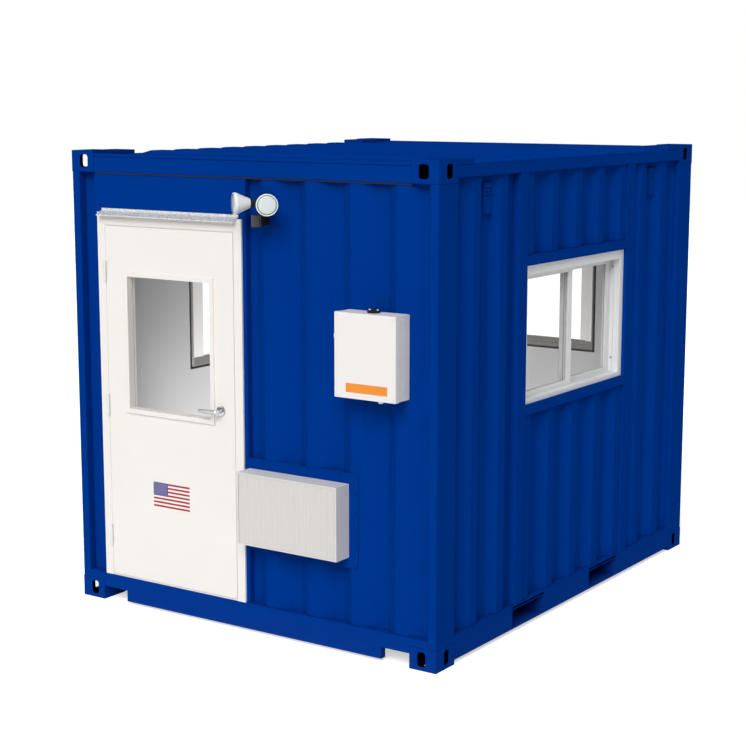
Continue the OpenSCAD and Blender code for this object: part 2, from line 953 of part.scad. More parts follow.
// Rebated jambs and head, lapped over the door posts
module door_frame() {
    color(white)
        on_wall(door_end)
            translate([leaf_a, 0, 0]) {
                for (m = [0, 1])
                    mirror([m, 0, 0]) {
                        block([jamb_a, frame_d, sill_top], [frame_a, sheet_inset, frame_top]);
                        block([jamb_a, frame_d, sill_top], [post_a - fit, liner_inset, lintel_z - fit]);
                        block([jamb_a - stop_w, stop_d, sill_top], [post_a - fit, liner_inset, head_z - fit]);
                    }
                block([fit - jamb_a, frame_d, head_z], [jamb_a - fit, sheet_inset, frame_top]);
                block([fit - jamb_a, frame_d, head_z], [jamb_a - fit, liner_inset, lintel_z - fit]);
                block([fit + stop_w - jamb_a, stop_d, head_z - stop_w],
                      [jamb_a - stop_w - fit, liner_inset, lintel_z - fit]);
            }
}

module door_threshold() {
    color(steel)
        on_wall(door_end)
            translate([leaf_a, 0, 0])
                block([fit - jamb_a, leaf_inset, sill_top],
                      [jamb_a - fit, stop_d - fit, sill_top + sill_plate_h]);
}

// Folded sheet with an upstand on the panel and a lip at its front
module drip_cap() {
    z1 = frame_top + cap_rise;
    z0 = z1 - cap_fall;
    run = frame_d - cap_out;
    section = [
        [sheet_inset, z1 - cap_t], [sheet_inset, z1 + cap_up], [sheet_inset - cap_t, z1 + cap_up],
        [sheet_inset - cap_t, z1], [run, z0], [run, z0 - cap_lip], [run + cap_t, z0 - cap_lip],
        [run + cap_t, z0 - cap_t], [sheet_inset - cap_t, z1 - cap_t]
    ];
    color(steel)
        on_wall(door_end)
            translate([leaf_a - frame_a + jamb_lap, 0, 0])
                rotate([90, 0, 90])
                    linear_extrude(2*frame_a - 2*jamb_lap)
                        polygon(section);
}

// Flush leaf with the window cut through and a bore for the lever
module door_leaf() {
    color(white)
        on_wall(door_end)
            difference() {
                block([leaf_a - leaf_w/2, leaf_inset, leaf_z],
                      [leaf_a + leaf_w/2, leaf_inset + leaf_t, leaf_top]);
                translate([leaf_a, 0, lite_z + lite_lap])
                    block([-cut_w/2, leaf_inset - past, 0], [cut_w/2, leaf_inset + leaf_t + past, cut_h]);
                translate([lever_a, leaf_inset - past, lever_at])
                    rotate([-90, 0, 0])
                        cylinder(r = spindle_r + 5, h = leaf_t + 2*past);
            }
}

// Outer and inner trim that clamp the pane of the door window
module door_lite_trim() {
    inner = leaf_inset + leaf_t;
    f = lite_face;
    lip = lite_face - lite_lap - fit;
    w = cut_w - 2*fit;
    h = cut_h - 2*fit;
    color(white)
        on_wall(door_end)
            translate([leaf_a, 0, lite_z]) {
                ring(lite_w, lite_h, f, f, f, leaf_inset - lite_proud, leaf_inset);
                ring(lite_w, lite_h, f, f, f, inner, inner + lite_proud);
                translate([0, 0, lite_lap + fit]) {
                    ring(w, h, lip, lip, lip, leaf_inset - lite_proud, pane_d - fit);
                    ring(w, h, lip, lip, lip, pane_d + pane_t + fit, inner + lite_proud);
                }
            }
}

module door_glass() {
    color(clear)
        on_wall(door_end)
            translate([leaf_a, pane_d, lite_z + lite_lap + fit])
                block([fit - cut_w/2, 0, 0], [cut_w/2 - fit, pane_t, cut_h - 2*fit]);
}

// Places children on the axis of each hinge
module at_hinges() {
    on_wall(door_end)
        for (z = hinge_zs)
            translate([axis_a, axis_d, z])
                children();
}

third = hinge_h/6;
plate_d = frame_d - axis_d;
plate_in = plate_d + hinge_d;

// Upper and lower knuckles with the pin, on plates let into the jamb
module frame_hinges() {
    color(steel)
        at_hinges() {
            translate([0, 0, -hinge_h/2])
                cylinder(r = pin_r, h = hinge_h);
            for (m = [0, 1])
                mirror([0, 0, m]) {
                    translate([0, 0, third + fit])
                        cylinder(r = knuckle_r, h = 2*third - fit);
                    block([-leaf_gap/2, 0, third + fit], [hinge_t - leaf_gap/2, plate_in, hinge_h/2]);
                }
            block([-leaf_gap/2, plate_d, -hinge_h/2], [hinge_t - leaf_gap/2, plate_in, hinge_h/2]);
        }
}

// Middle knuckles bored for the pin, on plates let into the leaf
module door_hinges() {
    color(steel)
        at_hinges()
            difference() {
                union() {
                    translate([0, 0, -third])
                        cylinder(r = knuckle_r, h = 2*third);
                    block([leaf_gap/2 - hinge_t, 0, -third], [leaf_gap/2, plate_in, third]);
                    block([leaf_gap/2 - hinge_t, plate_d, -hinge_h/2], [leaf_gap/2, plate_in, hinge_h/2]);
                }
                translate([0, 0, -hinge_h])
                    cylinder(r = pin_r + run_fit, h = 2*hinge_h);
            }
}

module lever_roses() {
    color(steel)
        on_wall(door_end)
            for (d = [leaf_inset - rose_t, leaf_inset + leaf_t])
                translate([lever_a, d, lever_at])
                    rotate([-90, 0, 0])
                        difference() {
                            cylinder(r = rose_r, h = rose_t);
                            translate([0, 0, -past])
                                cylinder(r = spindle_r + run_fit, h = rose_t + 2*past);
                        }
}

// Levers outside and inside on one spindle
module door_lever() {
    out = leaf_inset - lever_out;
    in = leaf_inset + leaf_t + lever_out;
    color(steel)
        on_wall(door_end)
            translate([lever_a, 0, lever_at]) {
                translate([0, out, 0])
                    rotate([-90, 0, 0])
                        cylinder(r = spindle_r, h = in - out);
                for (d = [out - lever_t, in])
                    translate([lever_w/2 - (lever_l + lever_w/2)/2, d, 0])
                        rotate([-90, 0, 0])
                            stadium(lever_l + lever_w/2, lever_w, lever_t);
            }
}

// Air conditioner

// Sleeve through the wall, hollow behind its grille
module air_conditioner_case() {
    color(pale)
        on_wall(door_end)
            difference() {
                block([ac_a0, -ac_out, ac_z], [ac_a1, liner_inset, ac_top]);
                block([ac_a0 + ac_edge, -ac_out - past, ac_z + ac_edge],
                      [ac_a1 - ac_edge, ac_grille_d - ac_out, ac_top - ac_edge]);
            }
}

// Comb of upright fins on a back plate
module air_conditioner_grille() {
    w = ac_w - 2*ac_edge - 2*fit;
    n = floor((w - fin_t)/fin_pitch);
    front = 2;
    back = ac_grille_d - front - fin_d;
    color(pale)
        on_wall(door_end)
            translate([(ac_a0 + ac_a1)/2, -ac_out, ac_z + ac_edge + fit])
                linear_extrude(ac_h - 2*ac_edge - 2*fit) {
                    translate([-w/2, ac_grille_d - back])
                        square([w, back]);
                    for (k = [0 : n])
                        translate([(k - n/2)*fin_pitch - fin_t/2, front])
                            square([fin_t, ac_grille_d - front]);
                }
}

// Plates that close the ribs round the case
module air_conditioner_surround() {
    area = [ac_a0 - ac_rim/2, ac_a1 + ac_rim, ac_z - ac_rim, ac_top + ac_rim];
    color(blue)
        on_wall(door_end)
            for (r = around(area, [ac_a0 - fit, ac_a1 + fit, ac_z - fit, ac_top + fit]))
                slab(r, sheet_inset - ac_rim_t, sheet_inset);
}

module air_conditioner_fascia() {
    color(pale)
        on_wall(door_end)
            block([ac_a0 - ac_edge, liner_inset, ac_z - ac_edge],
                  [ac_a1 + ac_edge, liner_inset + ac_in, ac_top + ac_edge]);
}

// Electrical and lights

module load_centre_box() {
    color(white)
        on_wall(door_end)
            translate([box_a, 0, box_z])
                block([-box_w/2, sheet_inset - box_d, 0], [box_w/2, sheet_inset, box_h]);
}

// Cover that laps the front of the box
module load_centre_cover() {
    front = sheet_inset - box_d;
    color(white)
        on_wall(door_end)
            translate([box_a, 0, box_z])
                block([-box_w/2 - 2, front - cover_d, -2], [box_w/2 + 2, front, box_h + 2]);
}

module conduit_hub() {
    color(black)
        on_wall(door_end)
            translate([box_a, sheet_inset - box_d/2, box_z + box_h])
                difference() {
                    cylinder(r = hub_r, h = hub_h);
                    translate([0, 0, hub_h/2])
                        cylinder(r = hub_r*0.7, h = hub_h);
                }
}

// Places children on the flood light's wall canopy, x pointing out of the wall
module at_light() {
    on_wall(door_end)
        translate([light_a, sheet_inset - canopy_t, light_z])
            rotate([0, 0, -90])
                children();
}

// Canopy with an arm to each lamp's pivot and a stem for the sensor
module floodlight_base() {
    neck = arm_l - disc_r - 5;
    stem_z = 3*stem_r - sensor_drop;
    stem_x = sensor_back + sensor_d/3;
    color(black)
        at_light()
            difference() {
                union() {
                    rotate([0, -90, 0])
                        cylinder(r = canopy_r, h = canopy_t);
                    for (s = [-1, 1])
                        rotate([0, 0, s*splay]) {
                            rotate([0, 90, 0])
                                cylinder(r = arm_r, h = neck);
                            block([0, -disc_t/2, -arm_r], [arm_l, disc_t/2, arm_r]);
                            translate([arm_l, disc_t/2, 0])
                                rotate([90, 0, 0])
                                    cylinder(r = disc_r, h = disc_t);
                        }
                    translate([-canopy_t/2, 0, stem_z])
                        rotate([0, 90, 0])
                            cylinder(r = stem_r, h = canopy_t/2 + stem_x);
                    translate([stem_x, 0, -sensor_drop])
                        cylinder(r = stem_r, h = sensor_drop + stem_z);
                    translate([stem_x, 0, stem_z])
                        sphere(r = stem_r);
                }
                for (s = [-1, 1])
                    rotate([0, 0, s*splay])
                        translate([arm_l, disc_t, 0])
                            rotate([90, 0, 0])
                                cylinder(r = bolt_r + run_fit, h = 2*disc_t);
            }
}

// Lamp on two ears with the pivot bolt, its cone opening to a banded rim
module lamp(s) {
    inside = disc_t/2 + fit;
    outside = inside + ear_t;
    back = disc_r + 3;
    tip = lamp_l - back;
    color(white)
        at_light()
            rotate([0, 0, s*splay])
                translate([arm_l, 0, 0]) {
                    translate([0, outside, 0])
                        rotate([90, 0, 0])
                            cylinder(r = bolt_r, h = 2*outside);
                    for (m = [0, 1])
                        mirror([0, m, 0]) {
                            translate([0, outside, 0])
                                rotate([90, 0, 0])
                                    cylinder(r = disc_r - 3, h = ear_t);
                            block([0, inside, 3 - disc_r], [back + 1, outside, disc_r - 3]);
                        }
                    translate([back, 0, 0])
                        rotate([0, 90, 0])
                            rotate_extrude()
                                polygon([
                                    [0, 0], [holder_r, 0], [holder_r, tip - rim_l - cone_l],
                                    [lamp_r, tip - rim_l], [lamp_r, tip], [0, tip]
                                ]);
                }
}

module left_lamp_head() {
    lamp(-1);
}

module right_lamp_head() {
    lamp(1);
}

// Sensor block with a round lens on its front
module motion_sensor() {
    color(black)
        at_light()
            translate([sensor_back, 0, -sensor_drop - sensor_h]) {
                block([0, -sensor_w/2, 0], [sensor_d, sensor_w/2, sensor_h - fit]);
                translate([sensor_d, 0, (sensor_h - lens_h)/2])
                    cylinder(r = lens_r, h = lens_h);
            }
}

// Vent covers in the valleys near both ends of each long side, slotted near the top
module wall_vents() {
    a = pitch*3.5;
    z1 = top_rail_z - vent_drop;
    d1 = sheet_inset + rib_d;
    d0 = d1 - vent_d;
    color(blue)
        for (turn = [near_side, far_side], s = [-1, 1])
            on_wall(turn)
                translate([s*a, 0, z1])
                    difference() {
                        block([-vent_w/2, d0, -vent_h], [vent_w/2, d1, 0]);
                        for (m = [-1, 1], k = [2 : 4])
                            translate([m*vent_w/4, d0, -k*vent_pitch])
                                block([-vent_slot_l/2, -past, 0], [vent_slot_l/2, vent_d/2, vent_slot_h]);
                    }
}

bottom_corner_castings();
top_corner_castings();
corner_posts();
end_sills();
end_top_rails();
side_top_rails();
side_bottom_rails();
floor_crossmembers();
fork_pocket_plates();
floor_deck();
roof_panel();
ceiling_liner();
window_side_wall();
far_side_wall();
back_end_wall();
door_end_wall();
door_surround();
side_wall_liners();
end_wall_liners();
window_surrounds();
window_frames();
window_sashes();
window_glass();
door_frame();
door_threshold();
drip_cap();
door_leaf();
door_lite_trim();
door_glass();
frame_hinges();
door_hinges();
lever_roses();
door_lever();
air_conditioner_case();
air_conditioner_grille();
air_conditioner_surround();
air_conditioner_fascia();
load_centre_box();
load_centre_cover();
conduit_hub();
floodlight_base();
left_lamp_head();
right_lamp_head();
motion_sensor();
wall_vents();
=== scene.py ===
import json
import math
import bpy
import bmesh
from mathutils import Matrix, Vector


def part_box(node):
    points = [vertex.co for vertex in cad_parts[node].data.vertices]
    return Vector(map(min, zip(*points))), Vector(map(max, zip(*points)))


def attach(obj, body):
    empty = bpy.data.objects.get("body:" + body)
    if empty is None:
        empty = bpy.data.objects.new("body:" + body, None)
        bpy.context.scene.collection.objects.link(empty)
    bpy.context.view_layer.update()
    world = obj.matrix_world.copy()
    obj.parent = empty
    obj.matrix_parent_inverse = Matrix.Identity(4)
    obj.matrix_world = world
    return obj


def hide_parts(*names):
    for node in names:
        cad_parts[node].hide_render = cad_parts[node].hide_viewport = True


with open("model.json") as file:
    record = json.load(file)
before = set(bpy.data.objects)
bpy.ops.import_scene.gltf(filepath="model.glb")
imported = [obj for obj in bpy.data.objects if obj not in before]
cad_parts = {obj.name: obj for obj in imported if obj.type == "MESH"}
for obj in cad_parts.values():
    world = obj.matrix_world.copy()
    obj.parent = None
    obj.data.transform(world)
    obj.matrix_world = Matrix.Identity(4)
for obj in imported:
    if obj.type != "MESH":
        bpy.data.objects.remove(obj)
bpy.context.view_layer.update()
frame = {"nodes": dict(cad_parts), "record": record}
scene = bpy.context.scene
nodes = frame["nodes"]
joints = {j["name"]: j for j in frame["record"]["behaviour"]["joints"]}
print("frame loaded:", len(nodes), "nodes")

# outer and inner faces of the corner castings, and the ways that pieces face
castings = nodes["bottom_corner_castings"].data.vertices
castLow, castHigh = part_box("bottom_corner_castings")
castInX, castInY = (min(abs(v.co[k]) for v in castings) for k in range(2))
outEnd, outNear, outFar, outUp = (-1, 0, 0), (0, -1, 0), (0, 1, 0), (0, 0, 1)

# small helpers for shader and geometry trees
def put(tree, kind, values=None, **settings):  # new node with socket values and properties
    made = tree.nodes.new(kind)
    for key, value in settings.items():
        setattr(made, key, value)
    for key, value in (values or {}).items():
        made.inputs[key].default_value = value
    return made

def join(tree, *pairs):  # links (output, input) pairs
    for out, into in pairs:
        tree.links.new(out, into)

def feed(tree, value, into):  # links an output, or sets a plain value
    if hasattr(value, "links"):
        tree.links.new(value, into)
    else:
        into.default_value = value

def newGroup(name, inputs, outputs, family="ShaderNodeTree"):  # node group with named sockets
    tree = bpy.data.node_groups.new(name, family)
    for label, kind, value in inputs:
        sock = tree.interface.new_socket(label, in_out="INPUT", socket_type="NodeSocket" + kind)
        if value is not None:
            sock.default_value = value
    for label, kind in outputs:
        tree.interface.new_socket(label, in_out="OUTPUT", socket_type="NodeSocket" + kind)
    return tree, put(tree, "NodeGroupInput").outputs, put(tree, "NodeGroupOutput").inputs

def math2(tree, operation, a, b, clamp=False):  # maths node on two sockets or numbers
    made = put(tree, "ShaderNodeMath", operation=operation, use_clamp=clamp)
    feed(tree, a, made.inputs[0])
    feed(tree, b, made.inputs[1])
    return made.outputs[0]

def blendColors(tree, factor, a, b, mode="MIX"):  # colour mix of sockets or rgba values
    made = put(tree, "ShaderNodeMix", data_type="RGBA", blend_type=mode)
    for slot, value in ((0, factor), (6, a), (7, b)):
        feed(tree, value, made.inputs[slot])
    return made.outputs[2]

def objectNoise(tree, scale, detail, rough=0.5, stretch=(1, 1, 1)):  # noise on object coordinates
    coords = put(tree, "ShaderNodeTexCoord").outputs["Object"]
    mapping = put(tree, "ShaderNodeMapping", {"Scale": stretch})
    noise = put(tree, "ShaderNodeTexNoise", {"Detail": detail, "Roughness": rough})
    join(tree, (coords, mapping.inputs["Vector"]), (mapping.outputs[0], noise.inputs["Vector"]))
    feed(tree, scale, noise.inputs["Scale"])
    return noise.outputs["Fac"]

def greyLevel(tree, level):  # a value as a grey colour
    shade = put(tree, "ShaderNodeCombineColor")
    for axis in range(3):
        tree.links.new(level, shade.inputs[axis])
    return shade.outputs[0]

def objectSpot(tree):  # object coordinates as three values
    spot = put(tree, "ShaderNodeSeparateXYZ")
    join(tree, (put(tree, "ShaderNodeTexCoord").outputs["Object"], spot.inputs[0]))
    return spot.outputs

# effects that several finishes share
def makePaintSkin():  # sprayed film: slow tone drift, orange peel, patchy gloss
    tree, given, out = newGroup("paintSkin", [
        ("Color", "Color", (0.5, 0.5, 0.5, 1)), ("Drift", "Float", 0.06), ("Peel Scale", "Float", 260.0),
        ("Gloss", "Float", 0.45), ("Gloss Spread", "Float", 0.1)],
        [("Color", "Color"), ("Roughness", "Float"), ("Height", "Float")])
    slow = objectNoise(tree, 1.7, 3.0)
    patch = objectNoise(tree, 9.0, 4.0)
    tone = math2(tree, "SUBTRACT", math2(tree, "ADD", slow, math2(tree, "MULTIPLY", patch, 0.5)), 0.75)
    level = math2(tree, "ADD", 1.0, math2(tree, "MULTIPLY", tone, given["Drift"]))
    uneven = math2(tree, "MULTIPLY", math2(tree, "SUBTRACT", patch, 0.5), given["Gloss Spread"])
    join(tree, (blendColors(tree, 1.0, given["Color"], greyLevel(tree, level), "MULTIPLY"), out["Color"]),
         (math2(tree, "ADD", given["Gloss"], uneven), out["Roughness"]),
         (objectNoise(tree, given["Peel Scale"], 2.0), out["Height"]))
    return tree

def makeGroundDust():  # road dust that thins out with height
    tree, given, out = newGroup("groundDust", [
        ("Color", "Color", (0.5, 0.5, 0.5, 1)), ("Dust Color", "Color", (0.3, 0.27, 0.22, 1)),
        ("Reach", "Float", 0.35), ("Amount", "Float", 0.25)], [("Color", "Color"), ("Mask", "Float")])
    fall = math2(tree, "SUBTRACT", 1.0, math2(tree, "DIVIDE", objectSpot(tree)["Z"], given["Reach"]), True)
    speck = objectNoise(tree, 14.0, 6.0, 0.65)
    mask = math2(tree, "MULTIPLY", math2(tree, "MULTIPLY", fall, speck), given["Amount"], True)
    join(tree, (mask, out["Mask"]), (blendColors(tree, mask, given["Color"], given["Dust Color"]), out["Color"]))
    return tree

def makeBrushLines():  # drawn or brushed metal, lines along one axis
    tree, given, out = newGroup("brushLines", [
        ("Color", "Color", (0.6, 0.6, 0.6, 1)), ("Contrast", "Float", 0.12), ("Gloss", "Float", 0.35)],
        [("Color", "Color"), ("Roughness", "Float"), ("Height", "Float")])
    lines = objectNoise(tree, 60.0, 5.0, 0.6, (12, 12, 0.25))
    off = math2(tree, "SUBTRACT", lines, 0.5)
    level = math2(tree, "ADD", 1.0, math2(tree, "MULTIPLY", off, given["Contrast"]))
    join(tree, (blendColors(tree, 1.0, given["Color"], greyLevel(tree, level), "MULTIPLY"), out["Color"]),
         (math2(tree, "ADD", given["Gloss"], math2(tree, "MULTIPLY", off, 0.25)), out["Roughness"]),
         (lines, out["Height"]))
    return tree

def makeSpangle():  # zinc crystals
    tree, given, out = newGroup("spangle", [
        ("Color", "Color", (0.6, 0.6, 0.6, 1)), ("Size", "Float", 90.0), ("Contrast", "Float", 0.3)],
        [("Color", "Color"), ("Roughness", "Float")])
    cells = put(tree, "ShaderNodeTexVoronoi", feature="F1")
    coords = put(tree, "ShaderNodeTexCoord").outputs["Object"]
    join(tree, (coords, cells.inputs["Vector"]), (given["Size"], cells.inputs["Scale"]))
    tint = put(tree, "ShaderNodeSeparateColor")
    join(tree, (cells.outputs["Color"], tint.inputs[0]))
    off = math2(tree, "SUBTRACT", tint.outputs[0], 0.5)
    level = math2(tree, "ADD", 1.0, math2(tree, "MULTIPLY", off, given["Contrast"]))
    join(tree, (blendColors(tree, 1.0, given["Color"], greyLevel(tree, level), "MULTIPLY"), out["Color"]),
         (math2(tree, "ADD", 0.42, math2(tree, "MULTIPLY", off, 0.3)), out["Roughness"]))
    return tree

paintSkin, groundDust = makePaintSkin(), makeGroundDust()
brushLines, spangle = makeBrushLines(), makeSpangle()

# finishes
def newFinish(name, **fixed):  # material with its Principled shader and plain constants
    mat = bpy.data.materials.new(name)
    mat.use_nodes = True
    shader = mat.node_tree.nodes["Principled BSDF"]
    for key, value in fixed.items():
        shader.inputs[key].default_value = value
    return mat, mat.node_tree, shader

def useGroup(tree, group, **values):  # places an effect in a material
    made = put(tree, "ShaderNodeGroup", node_tree=group)
    for key, value in values.items():
        made.inputs[key.replace("_", " ")].default_value = value
    return made

def coat(tree, shader, effect):  # an effect's colour and roughness on the shader
    join(tree, (effect.outputs["Color"], shader.inputs["Base Color"]),
         (effect.outputs["Roughness"], shader.inputs["Roughness"]))

def addBump(tree, shader, height, strength, distance, edge=0.0):
    bump = put(tree, "ShaderNodeBump", {"Strength": strength, "Distance": distance})
    join(tree, (height, bump.inputs["Height"]), (bump.outputs[0], shader.inputs["Normal"]))
    if edge:  # shading turns over the edge as over a small radius
        soft = put(tree, "ShaderNodeBevel", {"Radius": edge}, samples=4)
        join(tree, (soft.outputs[0], bump.inputs["Normal"]))

def paintFinish(name, look):  # painted or moulded surface with dust towards the ground
    mat, tree, shader = newFinish(name, **look.get("fixed", {}))
    skin = useGroup(tree, paintSkin, Color=look["color"] + (1,), Drift=look["drift"], Peel_Scale=look["peel"],
                    Gloss=look["gloss"], Gloss_Spread=look["spread"])
    coat(tree, shader, skin)
    if "dust" in look:
        dust = useGroup(tree, groundDust, Amount=look["dust"], Reach=look["reach"])
        join(tree, (skin.outputs["Color"], dust.inputs["Color"]), (dust.outputs["Color"], shader.inputs["Base Color"]))
    addBump(tree, shader, skin.outputs["Height"], look["bump"], look["depth"], look.get("edge", 0.0))
    return mat

decal = dict(drift=0.04, peel=500.0, gloss=0.45, spread=0.05, bump=0.04, depth=0.0002)
paints = {
    "boothBlue": dict(color=(0.0, 0.0355, 0.254), drift=0.08, peel=170.0, gloss=0.55, spread=0.1, bump=0.1,
                      depth=0.0006, dust=0.02, reach=0.2, edge=0.006, fixed={"Specular IOR Level": 0.0}),
    "doorWhite": dict(color=(0.868, 0.83, 0.79), drift=0.03, peel=240.0, gloss=0.5, spread=0.1, bump=0.08,
                      depth=0.0004, dust=0.06, reach=0.5, edge=0.0025, fixed={"Specular IOR Level": 0.25}),
    "liningBoard": dict(color=(0.46, 0.468, 0.485), drift=0.05, peel=420.0, gloss=0.62, spread=0.08, bump=0.15,
                        depth=0.0005),
    "ceilingBoard": dict(color=(0.26, 0.26, 0.26), drift=0.05, peel=420.0, gloss=0.7, spread=0.08, bump=0.15,
                         depth=0.0005),
    "windowVinyl": dict(color=(0.76, 0.765, 0.77), drift=0.02, peel=380.0, gloss=0.4, spread=0.06, bump=0.05,
                        depth=0.0003, edge=0.002, fixed={"Specular IOR Level": 0.3}),
    "coolerCase": dict(color=(0.71, 0.69, 0.67), drift=0.05, peel=520.0, gloss=0.52, spread=0.1, bump=0.2,
                       depth=0.0004, edge=0.002, fixed={"Specular IOR Level": 0.3}),
    "boxWhite": dict(color=(0.845, 0.82, 0.80), drift=0.03, peel=330.0, gloss=0.42, spread=0.08, bump=0.1,
                     depth=0.0004, edge=0.003, fixed={"Specular IOR Level": 0.3}),
    "blackPlastic": dict(color=(0.012, 0.012, 0.013), drift=0.3, peel=700.0, gloss=0.42, spread=0.15, bump=0.25,
                         depth=0.0003, edge=0.0015, fixed={"Specular IOR Level": 0.15}),
    "lampWhite": dict(color=(0.84, 0.85, 0.84), drift=0.02, peel=460.0, gloss=0.3, spread=0.06, bump=0.05,
                      depth=0.0003, edge=0.0015),
    "lensGlass": dict(color=(0.66, 0.74, 0.72), drift=0.06, peel=190.0, gloss=0.12, spread=0.05, bump=0.3,
                      depth=0.0006),
    "sensorSkin": dict(color=(0.028, 0.028, 0.03), drift=0.2, peel=320.0, gloss=0.16, spread=0.1, bump=0.2,
                       depth=0.0004),
    # dark strip under the end rails: partly sealant, partly painted shadow
    "sealantAndShadow": dict(color=(0.004, 0.007, 0.022), drift=0.4, peel=210.0, gloss=0.7, spread=0.1, bump=0.4, depth=0.001),
    "weatherStrip": dict(color=(0.82, 0.785, 0.745), drift=0.1, peel=420.0, gloss=0.75, spread=0.1, bump=0.3,
                         depth=0.0006),
    # near-black filler in the window gap: partly foam, partly painted shade
    "foamAndShadeBlack": dict(color=(0.01, 0.01, 0.011), drift=0.3, peel=300.0, gloss=0.85, spread=0.1, bump=0.5, depth=0.0012),
    "plugGrey": dict(color=(0.4, 0.4, 0.4), drift=0.1, peel=400.0, gloss=0.5, spread=0.1, bump=0.1, depth=0.0003),
    "decalRed": dict(decal, color=(0.40, 0.001, 0.006)),
    "decalWhite": dict(decal, color=(0.87, 0.86, 0.84), drift=0.02),
    "decalBlue": dict(decal, color=(0.006, 0.005, 0.19)),
    "decalOrange": dict(decal, color=(0.86, 0.27, 0.02), drift=0.05, gloss=0.5),
}
finish = {name: paintFinish(name, look) for name, look in paints.items()}

metals = {
    "hingeSteel": dict(color=(0.72, 0.71, 0.70), gloss=0.4, contrast=0.2, metallic=0.7),
    "sillAluminium": dict(color=(0.80, 0.79, 0.77), gloss=0.46, contrast=0.15, metallic=0.6),
    "leverChrome": dict(color=(0.82, 0.82, 0.83), gloss=0.07, contrast=0.02, metallic=1.0),
}

def metalFinish(name, look, bump=0.06, depth=0.0003):  # drawn, brushed or plated metal
    mat, tree, shader = newFinish(name, Metallic=look["metallic"])
    lines = useGroup(tree, brushLines, Color=look["color"] + (1,), Gloss=look["gloss"], Contrast=look["contrast"])
    coat(tree, shader, lines)
    addBump(tree, shader, lines.outputs["Height"], bump, depth)
    return mat
finish.update({name: metalFinish(name, look) for name, look in metals.items()})

def layTone(mat, mask, tone):  # a second colour over a finish where the mask is 1
    base = mat.node_tree.nodes["Principled BSDF"].inputs["Base Color"]
    plain = base.links[0].from_socket
    join(mat.node_tree, (blendColors(mat.node_tree, mask, plain, tone), base))

def paintDarkReflection(mat, blend=0.62, tone=(0.03, 0.03, 0.033, 1)):  # painted dark reflection on the chrome where it turns from the eye
    turned = put(mat.node_tree, "ShaderNodeLayerWeight", {"Blend": blend})
    # near-black painted reflection at grazing angles
    layTone(mat, turned.outputs["Facing"], tone)
paintDarkReflection(finish["leverChrome"])

def zincFinish(color=(0.66, 0.655, 0.65, 1), size=120.0, contrast=0.4):  # spangled sheet
    mat, tree, shader = newFinish("zincSheet", Metallic=0.3)
    coat(tree, shader, useGroup(tree, spangle, Color=color, Size=size, Contrast=contrast))
    return mat
finish["zincSheet"] = zincFinish()

def paneFinish():  # clear float glass that only shows at a slant
    mat, tree, shader = newFinish("clearPane", **{"Roughness": 0.02, "Base Color": (0.02, 0.026, 0.026, 1)})
    slant = put(tree, "ShaderNodeLayerWeight", {"Blend": 0.12})
    ramp = put(tree, "ShaderNodeMapRange", {"To Min": 0.004, "To Max": 0.14})
    join(tree, (slant.outputs["Fresnel"], ramp.inputs["Value"]), (ramp.outputs[0], shader.inputs["Alpha"]))
    return mat
finish["clearPane"] = paneFinish()

def plyFinish():  # sealed floor board with grain along the booth
    mat, tree, shader = newFinish("floorPly", Roughness=0.5)
    grain = objectNoise(tree, 9.0, 6.0, 0.6, (0.6, 9, 9))
    ramp = put(tree, "ShaderNodeValToRGB")
    ramp.color_ramp.elements[0].color = (0.19, 0.115, 0.06, 1)
    ramp.color_ramp.elements[1].color = (0.42, 0.29, 0.17, 1)
    join(tree, (grain, ramp.inputs[0]), (ramp.outputs[0], shader.inputs["Base Color"]))
    addBump(tree, shader, grain, 0.15, 0.0008)
    return mat
finish["floorPly"] = plyFinish()

def placeInside(tree, axisOutputs, limits):  # 1 where each coordinate's size lies between its limits
    inside = None
    for value, (low, high) in zip(axisOutputs, limits):
        size = math2(tree, "ABSOLUTE", value, 0.0)
        band = math2(tree, "MULTIPLY", math2(tree, "GREATER_THAN", size, low), math2(tree, "LESS_THAN", size, high))
        inside = band if inside is None else math2(tree, "MULTIPLY", inside, band)
    return inside

def copyFinish(source, name):
    mat = finish[source].copy()
    mat.name = name
    return mat

def castingHollowShade(node, skin=0.004, tone=(0.0, 0.002, 0.012, 1)):  # shell paint, with painted shade in the hollow of a casting
    low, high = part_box(node)
    mat = copyFinish("boothBlue", node + "Blue")
    limits = ((castInX + skin, high.x - skin), (castInY + skin, high.y - skin), (low.z + skin, high.z - skin))
    # the hollow inside the casting walls is painted near-black as painted shade
    layTone(mat, placeInside(mat.node_tree, objectSpot(mat.node_tree), limits), tone)
    return mat

def vinylSillShadeFinish(tone=(0.19, 0.185, 0.18, 1), reach=-0.9, rise=0.03):  # white, with painted shade in grey on the faces that look into the room, low round the sashes
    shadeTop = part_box("window_sashes")[0].z + rise
    mat = copyFinish("windowVinyl", "windowVinylRoomShade")
    tree = mat.node_tree
    flat = put(tree, "ShaderNodeVectorMath", {1: (1, 1, 0)}, operation="MULTIPLY")
    inward = put(tree, "ShaderNodeVectorMath", operation="DOT_PRODUCT")
    join(tree, (put(tree, "ShaderNodeTexCoord").outputs["Object"], flat.inputs[0]), (flat.outputs[0], inward.inputs[0]),
         (put(tree, "ShaderNodeNewGeometry").outputs["True Normal"], inward.inputs[1]))
    faces = math2(tree, "LESS_THAN", inward.outputs["Value"], reach)
    # grey painted shade on room-facing faces below the top of the shaded band
    layTone(mat, math2(tree, "MULTIPLY", faces, math2(tree, "LESS_THAN", objectSpot(tree)["Z"], shadeTop)), tone)
    return mat

def lampBeam(joint):  # a lamp's pivot, and the way it shines at rest
    pivot, axis = Vector(joints[joint]["pos_m"]), Vector(joints[joint]["axis"])
    return pivot, Vector(outUp).cross(axis)

